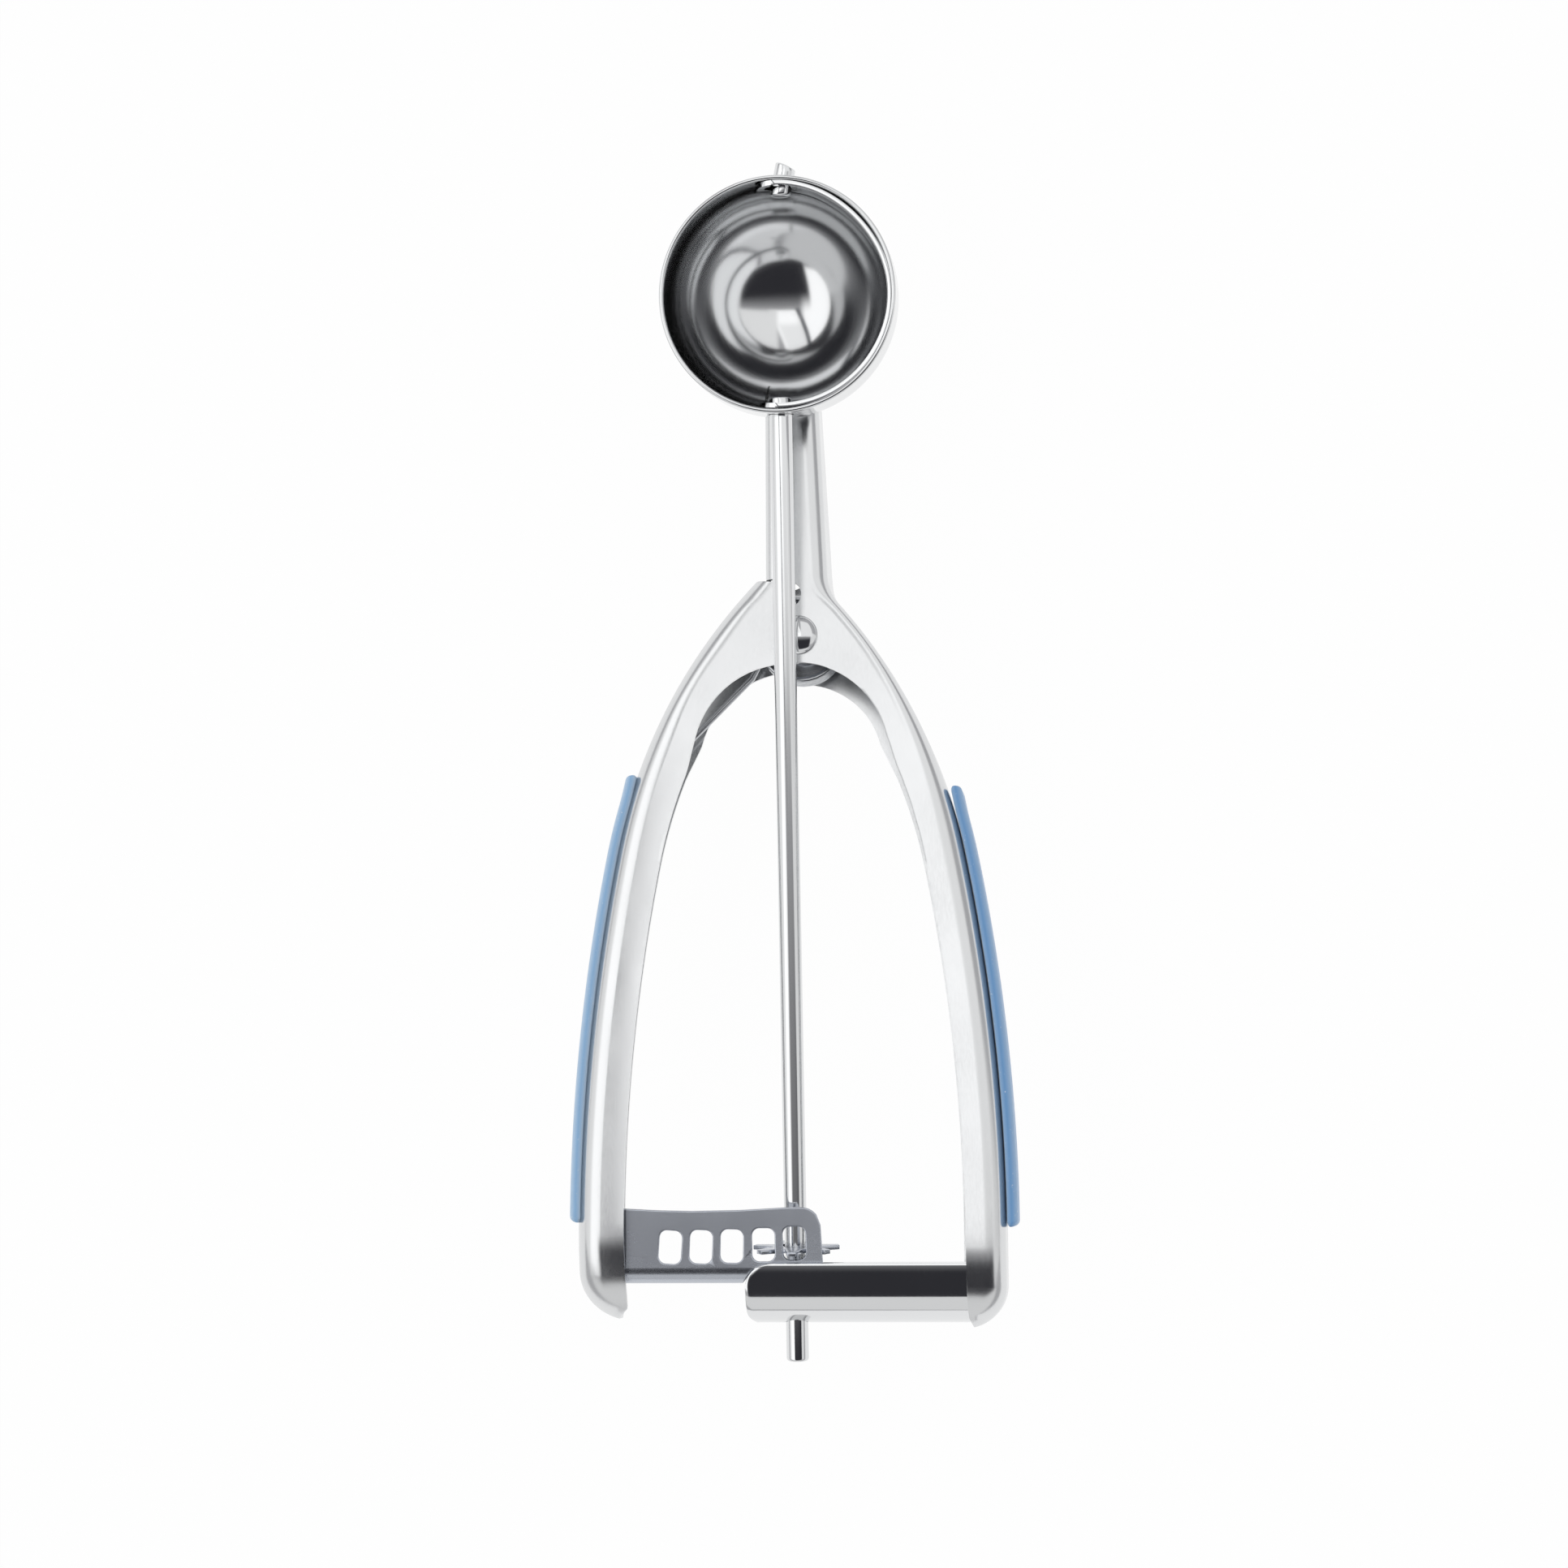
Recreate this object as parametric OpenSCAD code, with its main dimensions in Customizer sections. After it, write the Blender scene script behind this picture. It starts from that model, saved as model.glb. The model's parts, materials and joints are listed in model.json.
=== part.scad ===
// Lever ice cream scoop, worked by squeezing its two handles together.
// It lies flat with its bowl opening upwards, and +Y runs from the handles to the bowl.
// The shaft frame has the shaft along Y at X = 0, Z = 0 and the pivot at Y = 0.
// The handle frame lies on the handles' front faces, tilted a little to the shaft.

/* [Bowl] */
// Outer diameter of the bowl
bowl_d = 40; // [38:0.5:44]
// Thickness of the bowl's wall
bowl_wall = 0.8; // [0.6:0.1:1]
// Height of the straight collar above the round bottom
collar_h = 7; // [6:0.5:9]
// Height of the rim above the shaft's axis
rim_h = 3.5; // [3:0.25:4]
// Distance from the pivot to the bowl's centre
bowl_y = 57; // [54:1:66]

/* [Sweeper] */
// Width of the sweeper's band
blade_w = 7; // [5:0.5:7]
// Thickness of the sweeper's band
blade_t = 0.8; // [0.6:0.1:1]
// Gap between the band and the bowl's wall
blade_gap = 0.7; // [0.7:0.1:1]
// Angle of the band below the rim's plane at rest
blade_rest = 4; // [2:1:6]
// Diameter of the pin at the bowl's far side
pin_d = 3.6; // [3:0.1:3.8]
// Length of the pin outside the bowl
pin_stub = 2.3; // [1.5:0.1:4]
// Lean of the pin's outer end to one side, in degrees
pin_lean = 10; // [0:1:12]

/* [Shaft] */
// Diameter of the shaft
shaft_d = 3.8; // [3.4:0.1:4]
// Length of the shaft below the crossbar
shaft_tail = 6.8; // [4:0.2:10]
// Radial clearance of everything that turns on a pin or in a hole
running_fit = 0.07; // [0.05:0.01:0.1]

/* [Pinion] */
// Distance of the pinion's middle above the crossbar's upper edge
pinion_lift = 2.3; // [2:0.1:4]
// Diameter over the pinion's teeth
pinion_d = 14.8; // [14.4:0.1:15.2]
// Thickness of the pinion
pinion_t = 1.2; // [1:0.1:1.5]
// Number of teeth
pinion_teeth = 7; // [6:1:8]
// Width of a tooth at its tip
tooth_w = 1.5; // [1:0.1:1.8]

/* [Handles] */
// Thickness of the stamped sheet
sheet = 0.8; // [0.6:0.1:1]
// Depth of the fixed handle, front face to back face
handle_depth = 14; // [13:0.5:15]
// Width of an arm, seen from the front
arm_w = 7; // [5.5:0.1:7.5]
// Half the width over both arms at their lower end
arm_half_span = 35.7; // [34:0.1:38]
// Distance from the pivot to where the arms run straight
arm_drop = 101; // [98:0.5:104]
// Radius of the arms' shoulders
shoulder_r = 92; // [88:1:98]
// Angle from straight down at which the shoulders end
shoulder_turn = 43; // [41:0.5:44]
// Rounding of the arms' outer edges
edge_r = 3.5; // [2.5:0.1:4.5]
// Radius left free inside the hook at an arm's lower end
hook_eye = 0.2; // [0.1:0.1:1]
// Length of the right arm below its long curve
right_tail = 15.8; // [14.5:0.1:18]
// Length of the left arm below its long curve
left_tail = 14.6; // [13:0.1:16]
// Gap between the nested sheets of the two handles
nest_gap = 0.2; // [0.15:0.05:0.3]
// Radius of the arch under the pivot
arch_r = 15.8; // [15:0.2:17]

/* [Neck] */
// Width of the neck at the yoke
neck_w_yoke = 10.7; // [10:0.1:11.5]
// Width of the neck at the bowl
neck_w_bowl = 9; // [7:0.1:10]
// Depth of the neck at the bowl
neck_depth_bowl = 9; // [7:0.5:11]

/* [Pivot] */
// Distance of the pivot to the right of the shaft
pivot_x = 1.8; // [1:0.1:2.4]
// Diameter of the rivet's shank
rivet_d = 4; // [3.4:0.1:4.4]
// Diameter of the rivet's domed head
rivet_head_d = 6.6; // [6:0.1:7.4]
// Height of the rivet's domed head
rivet_head_h = 2.2; // [1.6:0.1:2.4]
// Gap between the rivet's head and the shaft
rivet_gap = 0.8; // [0.6:0.1:1.2]
// Outer diameter of the spacer tube on the rivet
spacer_d = 6.4; // [5.6:0.2:8]
// Diameter of the round hole above the pivot
sight_d = 4.6; // [3:0.1:5]

/* [Spring] */
// Diameter of the spring's wire
wire_d = 1.1; // [0.8:0.1:1.3]
// Mean diameter of the spring's coil
coil_d = 14; // [12:0.5:15]
// Whole turns of the coil, to which half a turn is added
coil_turns = 4; // [3:1:5]
// Distance below the pivot at which the legs press on the arms
leg_drop = 22; // [18:1:26]

/* [Crossbar] */
// Height of the crossbar's cheeks
crossbar_h = 10; // [9.6:0.1:10.3]
// Thickness of the crossbar's sheet
crossbar_sheet = 0.7; // [0.5:0.05:0.8]
// Rounding of the crossbar's front lower edge
crossbar_front_r = 6.5; // [6:0.5:7]
// Distance of the crossbar's free end to the left of the shaft
crossbar_over = 8; // [6:0.5:9]

/* [Rack] */
// Thickness of the rack plate
rack_t = 0.85; // [0.7:0.05:0.9]
// Number of windows
windows = 5; // [4:1:6]
// Width of a window
window_w = 3.8; // [3.6:0.1:4]
// Height of a window
window_h = 5.5; // [5:0.1:6]
// Height of the rack plate above the middle of its windows
rack_above = 6.4; // [5:0.1:8]
// Height of the rack plate below the middle of its windows
rack_below = 3.5; // [3.2:0.1:3.6]
// Length of the rack plate past its last window
rack_past = 4.6; // [3.5:0.1:6]
// Outer radius of the rolled lower lip
lip_r = 2.2; // [1.8:0.1:2.5]

/* [Grips] */
// Thickness of the grips
grip_t = 1.8; // [1.2:0.1:2.4]
// Width of the grips
grip_w = 9; // [7:0.5:10]
// Distance below the pivot of the left grip's upper end
left_grip_top = 23; // [20:0.5:30]
// Distance below the pivot of the left grip's lower end
left_grip_low = 99; // [90:0.5:100]
// Distance below the pivot of the right grip's upper end
right_grip_top = 25.8; // [20:0.2:30]
// Distance below the pivot of the right grip's lower end
right_grip_low = 100; // [90:0.5:100]

/* [Hidden] */

$fn = 96;
long_fn = 720;
cut = 1;            // how far a cutting solid runs past what it cuts
glue = 0.05;        // film under the grips
steel = "#D5D8DA";
satin = "#AEB4BA";
blue = "#7FABD6";

bowl_r = bowl_d / 2;
cup_r = bowl_r - bowl_wall;
cup_z = rim_h - collar_h;
bowl_bottom = cup_z - bowl_r;
blade_r = cup_r - blade_gap;
shaft_r = shaft_d / 2;

// Lower ends, all measured down from the pivot: the arms, the crossbar welded in the right
// one's hook, and the pinion just above it
right_end = arm_drop + right_tail;
left_end = arm_drop + left_tail;
hook_r = arm_w + hook_eye;
weld = 0.1;
crossbar_low = right_end - sheet - weld;
crossbar_top = crossbar_low - crossbar_h;
pinion_y = crossbar_top - pinion_lift;

// Rack and pinion: the pitch circle sits under the teeth's tips, and the handle plane is
// tilted so that the rack's middle runs at the pitch circle's height above the shaft.
addendum = 1.5;
pitch_r = pinion_d / 2 - addendum;
front_z = -(shaft_r + rivet_gap + rivet_head_h);
nest = sheet + nest_gap;
rack_z = -(nest + sheet);
tilt = atan((pitch_r - front_z - rack_z + rack_t / 2) / pinion_y);
pinion_drop = pinion_y / cos(tilt);
step = pitch_r * (360 / pinion_teeth) / pinion_drop;
window_lift = 0.8;
window_drop = pinion_drop - window_lift;
window_corner = 1.2;
rack_high = window_drop - rack_above;
rack_low = window_drop + rack_below;
rack_corner = 3;
lip_gap = 0.6;
lip_root = 0.3;     // how far the lip's root lies in the plate

// Right arm: the shoulder's upper end is held at the neck's foot, and the long curve's
// radius is the one that leads smoothly from the shoulder to the arm's widest place
shoulder_top_x = 6.45;
shoulder_top_y = 7.97;
shoulder_top = [shoulder_top_x, shoulder_top_y];
shoulder_c = shoulder_top - shoulder_r * [cos(shoulder_turn), sin(shoulder_turn)];
across = arm_half_span - shoulder_c[0];
along = arm_drop + shoulder_c[1];
arm_r = (across * across + along * along - shoulder_r * shoulder_r)
    / (2 * (across - shoulder_r));
curve_c = [arm_half_span - arm_r, -arm_drop];
arm_turn = atan2(along, arm_r - across);
plate_inset = 0.3;  // how far the cheeks' plates end inside the arms' outer faces
arch_top = 4.7;     // steel between the pivot's centre and the arch under it
arch_offset = 1;
arch_c = [arch_offset, -(arch_r + arch_top)];
neck_start = 7;
notch_y = 9.8;
notch_gap = 0.5;
moving_top = notch_y - notch_gap;
seam_left = 1.2;    // the yoke's edge beside the rivet, to the left of the shaft
ear_r = 4.9;
sight_y = 7.1;
neck_left = 3.9;
neck_edge_r = 2;
sharp_r = 0.01;
hook_turn = 85;

crossbar_depth = handle_depth - 2 * sheet;
crossbar_back_r = 2.5;
crossbar_root = 2.5;
shaft_low = crossbar_low * cos(tilt) + shaft_tail;
shaft_past = 0.6;
shaft_top = bowl_y - blade_r + blade_t + shaft_past;
pin_in = 0.9;
pin_straight = 0.3;

moving_depth = handle_depth - 2 * nest;
spacer_play = 0.15;
spacer_fit = 0.02;
coil_r = coil_d / 2;
coil_gap = 0.15;
coil_pitch = wire_d + coil_gap;
coil_half = (coil_turns + 0.5) * coil_pitch / 2;
coil_z = -handle_depth / 2;
coil_steps = 20;
wire_sides = 8;
leg_gap = 0.1;
leg_r = shoulder_r - sheet - wire_d / 2 - leg_gap;
leg_rise = [[2.1, 5.8], [0.4, 2.6], [0, 0.5]]; // its bends, out of and below the coil
leg_x = shoulder_c[0] + sqrt(pow(leg_r, 2) - pow(leg_drop + shoulder_c[1], 2));

// The origin lies under the middle of the part's outline, on the surface it rests on
pin_tip = bowl_y + bowl_r + pin_stub;
mid_y = (pin_tip - shaft_low) / 2;

module place() {
    translate([0, -mid_y, -bowl_bottom]) children();
}

module handle_frame() {
    translate([0, 0, front_z]) rotate([-tilt, 0, 0]) children();
}

module along_y(from, to, r) {
    translate([0, from, 0]) rotate([-90, 0, 0]) cylinder(r = r, h = to - from);
}

// A bar's end view with its two outer corners rounded, its free side at x = 0
module rounded_side(w, d, r_low, r_high) {
    difference() {
        square([w, d]);
        translate([w - r_low, 0]) square([r_low + cut, r_low]);
        translate([w - r_high, d - r_high]) square([r_high + cut, r_high + cut]);
    }
    intersection() {
        square([w, d]);
        union() {
            translate([w - r_low, r_low]) circle(r_low);
            translate([w - r_high, d - r_high]) circle(r_high);
        }
    }
}

function arc(c, r, from, to, n) =
    [for (i = [0 : n]) c + r * [cos(from + (to - from) * i / n), sin(from + (to - from) * i / n)]];

// Section of an arm: a channel, open towards the shaft, with its web at x = 0
function channel(depth) =
    let (front = [-edge_r, -edge_r], back = [-edge_r, edge_r - depth], inner_r = edge_r - sheet)
        concat([[-arm_w, -depth]], arc(back, edge_r, -90, 0, 5), arc(front, edge_r, 0, 90, 5),
               [[-arm_w, 0], [-arm_w, -sheet]], arc(front, inner_r, 90, 0, 5),
               arc(back, inner_r, 0, -90, 5), [[-arm_w, sheet - depth]]);

// A bend in the handle frame: where its rings stand, as centre, radius and angle
function bend(c, r, from, to, n, first = 0) =
    [for (i = [first : n]) [c, r, from + (to - from) * i / n]];
function on_ring(ring, s) = concat(ring[0] + (ring[1] + s[0]) * [cos(ring[2]), sin(ring[2])],
                                   s[1]);

// A bar with the given section, carried along the rings of one or more bends. The section
// runs up one side and back down the other, point for point, so strips close its ends.
module bar(rings, section) {
    m = len(section);
    last = (len(rings) - 1) * m;
    walls = [for (i = [0 : len(rings) - 2], k = [0 : m - 1])
        let (q = i * m, j = (k + 1) % m) [q + k, q + j, q + m + j, q + m + k]];
    caps = [for (i = [0 : m / 2 - 2]) each [
        [m - 1 - i, m - 2 - i, i + 1, i],
        [last + i, last + i + 1, last + m - 2 - i, last + m - 1 - i]]];
    polyhedron([for (ring = rings, p = section) on_ring(ring, p)], concat(walls, caps),
               convexity = 6);
}

// Right arm, from its hooked end up to its shoulder
module arm(depth, end) {
    hook_c = [arm_half_span - hook_r, hook_r - end];
    bar(concat(bend(hook_c, hook_r, -hook_turn, 0, 10),
               bend(curve_c, arm_r, 0, arm_turn, 8),
               bend(shoulder_c, shoulder_r, arm_turn, shoulder_turn, 14, 1)),
        channel(depth));
}

// One cheek of the yoke's right half, up to its rounded outer edge
module yoke_half(from_x, top, arch_x) {
    difference() {
        intersection() {
            translate(shoulder_c) circle(shoulder_r - edge_r - plate_inset, $fn = long_fn);
            translate([from_x, arch_c[1]]) square([arm_half_span, top - arch_c[1]]);
        }
        translate([arch_x, arch_c[1]]) circle(arch_r);
    }
}

module both_cheeks(depth) {
    translate([0, 0, -sheet]) linear_extrude(sheet) children();
    translate([0, 0, -depth]) linear_extrude(sheet) children();
}

module pivot_hole(clearance) {
    translate([pivot_x, 0, -handle_depth - cut])
        cylinder(d = rivet_d + 2 * clearance, h = handle_depth + 2 * cut);
}

// The neck's outer form, or with an inset the space inside it, open at the back
module neck_form(inset) {
    length = bowl_y - bowl_r / 2 - neck_start;
    lean = atan((neck_w_yoke - neck_w_bowl) / length);
    slope = (handle_depth - neck_depth_bowl) / length;
    r = neck_edge_r - inset;
    back = handle_depth + cut;
    open_back = inset > 0 ? cut : 0;
    low = neck_start - inset;
    high = neck_start + length + inset;
    intersection() {
        translate([inset - neck_left, neck_start - inset, -inset]) rotate([-90, 0, 0])
            linear_extrude(length + 2 * inset) mirror([1, 0]) translate([-back, 0])
                rounded_side(back, back, r, sharp_r);
        translate([neck_w_yoke - neck_left - inset, neck_start - inset, -inset])
            rotate([0, 0, lean]) rotate([-90, 0, 0]) translate([0, 0, -cut])
                linear_extrude(length + 2 * cut) translate([-back, 0])
                    rounded_side(back, back, r, sharp_r);
        translate([-back, 0, 0]) rotate([90, 0, 90]) linear_extrude(2 * back)
            polygon([[low, 0], [high, 0], [high, -neck_depth_bowl - open_back],
                     [low, -neck_depth_bowl - length * slope - open_back]]);
    }
}

module neck_channel() {
    difference() {
        neck_form(0);
        neck_form(sheet);
        translate([-neck_left - cut, neck_start - cut, -handle_depth - cut])
            cube([neck_left - seam_left + cut, notch_y - neck_start + cut,
                  handle_depth + 2 * cut]);
    }
}

module bowl_envelope() {
    translate([0, bowl_y, 0]) {
        translate([0, 0, cup_z]) cylinder(r = bowl_r, h = collar_h);
        translate([0, 0, cup_z]) sphere(bowl_r);
    }
}

module bowl() {
    color(steel) place() difference() {
        translate([0, bowl_y, 0]) rotate_extrude() difference() {
            intersection() {
                translate([0, bowl_bottom]) square([bowl_r, rim_h - bowl_bottom]);
                union() {
                    translate([0, cup_z]) circle(bowl_r);
                    translate([0, cup_z]) square([bowl_r, collar_h]);
                }
            }
            translate([0, cup_z]) circle(cup_r);
            translate([0, cup_z]) square([cup_r, collar_h + cut]);
        }
        along_y(bowl_y - bowl_r - cut, bowl_y, shaft_r + running_fit);
        along_y(bowl_y, bowl_y + bowl_r + cut, pin_d / 2);
    }
}

// Half-ring band with a round eye at each end, drawn at the scoop's rest
module sweeper_blade() {
    color(steel) place() difference() {
        translate([0, bowl_y, 0]) rotate([0, blade_rest, 0]) {
            rotate([0, 0, -90]) rotate_extrude(angle = 180)
                translate([blade_r - blade_t, -blade_w / 2]) square([blade_t, blade_w]);
            along_y(-blade_r, blade_t - blade_r, blade_w / 2);
            along_y(blade_r - blade_t, blade_r, blade_w / 2);
        }
        along_y(bowl_y - blade_r - cut, bowl_y, shaft_r);
        along_y(bowl_y, bowl_y + blade_r + cut, pin_d / 2 + running_fit);
    }
}

module sweeper_pin() {
    pin_r = pin_d / 2;
    knee = bowl_y + bowl_r + pin_straight;
    color(steel) place() {
        along_y(bowl_y + blade_r - blade_t - pin_in, knee, pin_r);
        translate([0, knee, 0]) rotate([0, 0, -pin_lean])
            along_y(-pin_r * sin(pin_lean), (pin_tip - knee) / cos(pin_lean) - pin_r * tan(pin_lean),
                    pin_r);
    }
}

module drive_shaft() {
    chamfer = 0.5;
    color(steel) place() {
        along_y(-shaft_low + chamfer, shaft_top, shaft_r);
        translate([0, -shaft_low, 0]) rotate([-90, 0, 0])
            cylinder(r1 = shaft_r - chamfer, r2 = shaft_r, h = chamfer);
    }
}

// Star wheel, with one tooth pointing straight up at rest
module pinion() {
    root_r = 4;
    root_w = 2.7;
    tip_x = sqrt(pow(pinion_d / 2, 2) - pow(tooth_w / 2, 2));
    color(satin) place() translate([0, -pinion_y - pinion_t / 2, 0]) rotate([-90, -90, 0])
        difference() {
            linear_extrude(pinion_t) {
                circle(root_r);
                for (i = [0 : pinion_teeth - 1])
                    rotate(i * 360 / pinion_teeth)
                        polygon([[0, -root_w / 2], [root_r, -root_w / 2],
                                 [tip_x, -tooth_w / 2], [tip_x, tooth_w / 2],
                                 [root_r, root_w / 2], [0, root_w / 2]]);
            }
            translate([0, 0, -cut]) cylinder(r = shaft_r, h = pinion_t + 2 * cut);
        }
}

// Neck, yoke and right arm, one stamping welded to the bowl
module fixed_handle() {
    color(steel) place() difference() {
        handle_frame() difference() {
            union() {
                arm(handle_depth, right_end);
                both_cheeks(handle_depth) {
                    yoke_half(-seam_left, notch_y, arch_c[0]);
                    translate([pivot_x, 0]) circle(ear_r);
                }
                neck_channel();
            }
            pivot_hole(0);
            translate([0, sight_y, -handle_depth / 2])
                cylinder(d = sight_d, h = handle_depth);
        }
        bowl_envelope();
    }
}

// Half-tube bar inside the right arm's hook, with the shaft's lower bearing
module crossbar() {
    hook_x = arm_half_span - hook_r;
    length = hook_x + crossbar_root + crossbar_over;
    bend_r = edge_r - sheet;
    color(steel) place() difference() {
        handle_frame() translate([0, 0, -sheet]) intersection() {
            translate([length - crossbar_over, -crossbar_top, -crossbar_depth])
                rotate([90, 0, -90]) linear_extrude(length)
                    difference() {
                        rounded_side(crossbar_h, crossbar_depth,
                                     crossbar_back_r, crossbar_front_r);
                        translate([-cut, crossbar_sheet])
                            rounded_side(crossbar_h - crossbar_sheet + cut,
                                         crossbar_depth - 2 * crossbar_sheet,
                                         crossbar_back_r - crossbar_sheet,
                                         crossbar_front_r - crossbar_sheet);
                    }
            union() {
                translate([0, 0, -crossbar_depth - cut])
                    linear_extrude(crossbar_depth + 2 * cut)
                        crossbar_outline(hook_x, hook_r - edge_r - weld);
                translate([0, 0, bend_r - crossbar_depth])
                    linear_extrude(crossbar_depth - 2 * bend_r)
                        crossbar_outline(hook_x, hook_r - sheet - weld);
            }
        }
        along_y(-crossbar_low - shaft_tail, -crossbar_top, shaft_r + running_fit);
    }
}

// The crossbar from the front: rounded free end, and a root tucked into the arm's hook as
// far as root_r from the hook's centre, so that it clears the arm's bent edges
module crossbar_outline(hook_x, root_r) {
    corner = 3.4;
    hook_y = hook_r - right_end;
    translate([-crossbar_over, -crossbar_low])
        square([hook_x + crossbar_over, crossbar_h - corner]);
    translate([corner - crossbar_over, -crossbar_low])
        square([hook_x + crossbar_over - corner, crossbar_h]);
    translate([corner - crossbar_over, -crossbar_top - corner]) circle(corner);
    translate([hook_x - cut, hook_y])
        square([crossbar_root + cut, -crossbar_top - hook_y]);
    intersection() {
        translate([hook_x, hook_y]) circle(root_r);
        translate([hook_x - cut, -crossbar_low]) square([crossbar_root + cut, crossbar_h]);
    }
}

// Left arm, its cheeks nested between those of the fixed handle's yoke
module moving_handle() {
    color(steel) place() handle_frame() difference() {
        translate([0, 0, -nest]) {
            mirror([1, 0, 0]) arm(moving_depth, left_end);
            both_cheeks(moving_depth) {
                mirror([1, 0, 0]) yoke_half(0, moving_top, -arch_c[0]);
                translate([pivot_x, 0]) circle(ear_r - plate_inset);
            }
        }
        pivot_hole(running_fit);
    }
}

// Plate with a row of windows, one pinion tooth apart as seen from the pivot
module rack_plate() {
    first = atan(pivot_x / window_drop);
    root_x = edge_r - arm_half_span;
    lip_end = -(crossbar_over + lip_gap);
    color(satin) place() handle_frame() {
        translate([0, 0, rack_z - rack_t]) linear_extrude(rack_t) difference() {
            union() {
                translate([root_x, -rack_low])
                    square([rack_past - rack_corner - root_x, rack_low - rack_high]);
                translate([root_x, -rack_low])
                    square([rack_past - root_x, rack_low - rack_high - rack_corner]);
                translate([rack_past - rack_corner, -rack_high - rack_corner])
                    circle(rack_corner);
            }
            for (i = [0 : windows - 1])
                translate([pivot_x - window_drop * tan(first + i * step), -window_drop])
                    rounded_window(window_w, window_h, window_corner);
        }
        translate([root_x, -rack_low, rack_z - lip_r]) rotate([0, 90, 0]) rotate([0, 0, 180])
            linear_extrude(lip_end - root_x) rolled_lip();
    }
}

// The lip from its end: a quarter of a tube, and its root in the plate
module rolled_lip() {
    intersection() {
        difference() {
            circle(lip_r);
            circle(lip_r - rack_t);
        }
        square(lip_r);
    }
    translate([lip_r - rack_t, -lip_root]) square([rack_t, lip_root]);
}

module rounded_window(w, h, r) {
    square([w, h - 2 * r], center = true);
    square([w - 2 * r, h], center = true);
    for (x = [-1, 1], y = [-1, 1])
        translate([x * (w / 2 - r), y * (h / 2 - r)]) circle(r);
}

// Rivet with a domed head in front and a flatter one behind
module pivot_rivet() {
    tail_h = 1.2;
    color(steel) place() handle_frame() translate([pivot_x, 0, 0]) {
        translate([0, 0, -handle_depth]) cylinder(d = rivet_d, h = handle_depth);
        dome(rivet_head_d, rivet_head_h);
        translate([0, 0, -handle_depth]) rotate([180, 0, 0]) dome(rivet_head_d, tail_h);
    }
}

module dome(d, h) {
    ball_r = (pow(d / 2, 2) + pow(h, 2)) / (2 * h);
    intersection() {
        translate([0, 0, h - ball_r]) sphere(ball_r);
        cylinder(d = d + cut, h = h + cut);
    }
}

// Tube that keeps the moving handle's cheeks apart
module pivot_spacer() {
    play = nest + sheet + spacer_play;
    color(satin) place() handle_frame()
        translate([pivot_x, 0, play - handle_depth]) difference() {
            cylinder(d = spacer_d, h = handle_depth - 2 * play);
            translate([0, 0, -cut]) cylinder(d = rivet_d + 2 * spacer_fit, h = handle_depth);
        }
}

function unit(v) = v / norm(v);
function heading(p, i) = unit(p[min(i + 1, len(p) - 1)] - p[max(i - 1, 0)]);
function side(t) = unit(cross([0, 0, 1], t));

// A wire of diameter d that follows the points p
module wire(p, d) {
    n = len(p);
    ring = [for (i = [0 : n - 1], k = [0 : wire_sides - 1])
        let (t = heading(p, i), s = side(t), u = cross(t, s), a = k * 360 / wire_sides)
            p[i] + d / 2 * (cos(a) * s + sin(a) * u)];
    walls = [for (i = [0 : n - 2], k = [0 : wire_sides - 1])
        let (m = (k + 1) % wire_sides, q = i * wire_sides)
            [q + k, q + wire_sides + k, q + wire_sides + m, q + m]];
    start = [[for (k = [0 : wire_sides - 1]) k]];
    end = [[for (k = [wire_sides - 1 : -1 : 0]) (n - 1) * wire_sides + k]];
    polyhedron(ring, concat(walls, start, end), convexity = 6);
}

// Leg on side s (1 right, -1 left), from the arm's web up to the coil
function leg(s, z) = concat([[s * leg_x, -leg_drop, z]],
    [for (p = leg_rise) [pivot_x + s * (coil_r + p[0]), -p[1], z]]);

// Torsion spring round the rivet: its coil and the leg that presses on the right arm
module return_spring() {
    gap_angle = 5;
    turn = coil_turns * 360 + 180 - gap_angle;
    coil = [for (i = [0 : round(turn * coil_steps / 360)])
        let (a = i * turn / round(turn * coil_steps / 360))
            [pivot_x + coil_r * cos(a), coil_r * sin(a),
             coil_z + coil_half - a / 360 * coil_pitch]];
    color(satin) place() handle_frame()
        wire(concat(leg(1, coil_z + coil_half), coil), wire_d);
}

// The spring's other leg, which moves with the left arm that it presses on
module spring_left_leg() {
    color(satin) place() handle_frame()
        wire(leg(-1, coil_z - coil_half), wire_d);
}

// Strip on the outside of an arm, drawn for the right side
module grip(top, low) {
    low_turn = asin((arm_drop - low) / arm_r);
    top_turn = asin((-top - shoulder_c[1]) / (shoulder_r + grip_t));
    grip_z = -(handle_depth + grip_w) / 2;
    r = 0.6;
    section = concat([[0, 0]], arc([grip_t - r, r], r, -90, 0, 3),
                     arc([grip_t - r, grip_w - r], r, 0, 90, 3), [[0, grip_w]]);
    bar(concat(bend(curve_c, arm_r, low_turn, arm_turn, 8),
               bend(shoulder_c, shoulder_r, arm_turn, top_turn, 6, 1)),
        [for (p = section) p + [glue, grip_z]]);
}

module left_grip() {
    color(blue) place() handle_frame()
        mirror([1, 0, 0]) grip(left_grip_top, left_grip_low);
}

module right_grip() {
    color(blue) place() handle_frame() grip(right_grip_top, right_grip_low);
}

bowl();
sweeper_blade();
sweeper_pin();
drive_shaft();
pinion();
fixed_handle();
crossbar();
moving_handle();
rack_plate();
pivot_rivet();
pivot_spacer();
return_spring();
spring_left_leg();
left_grip();
right_grip();
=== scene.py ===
import json
from math import acos, asin, atan2, cos, degrees, pi, radians, sin, sqrt, tan

import bpy
from mathutils import Matrix, Vector


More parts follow.
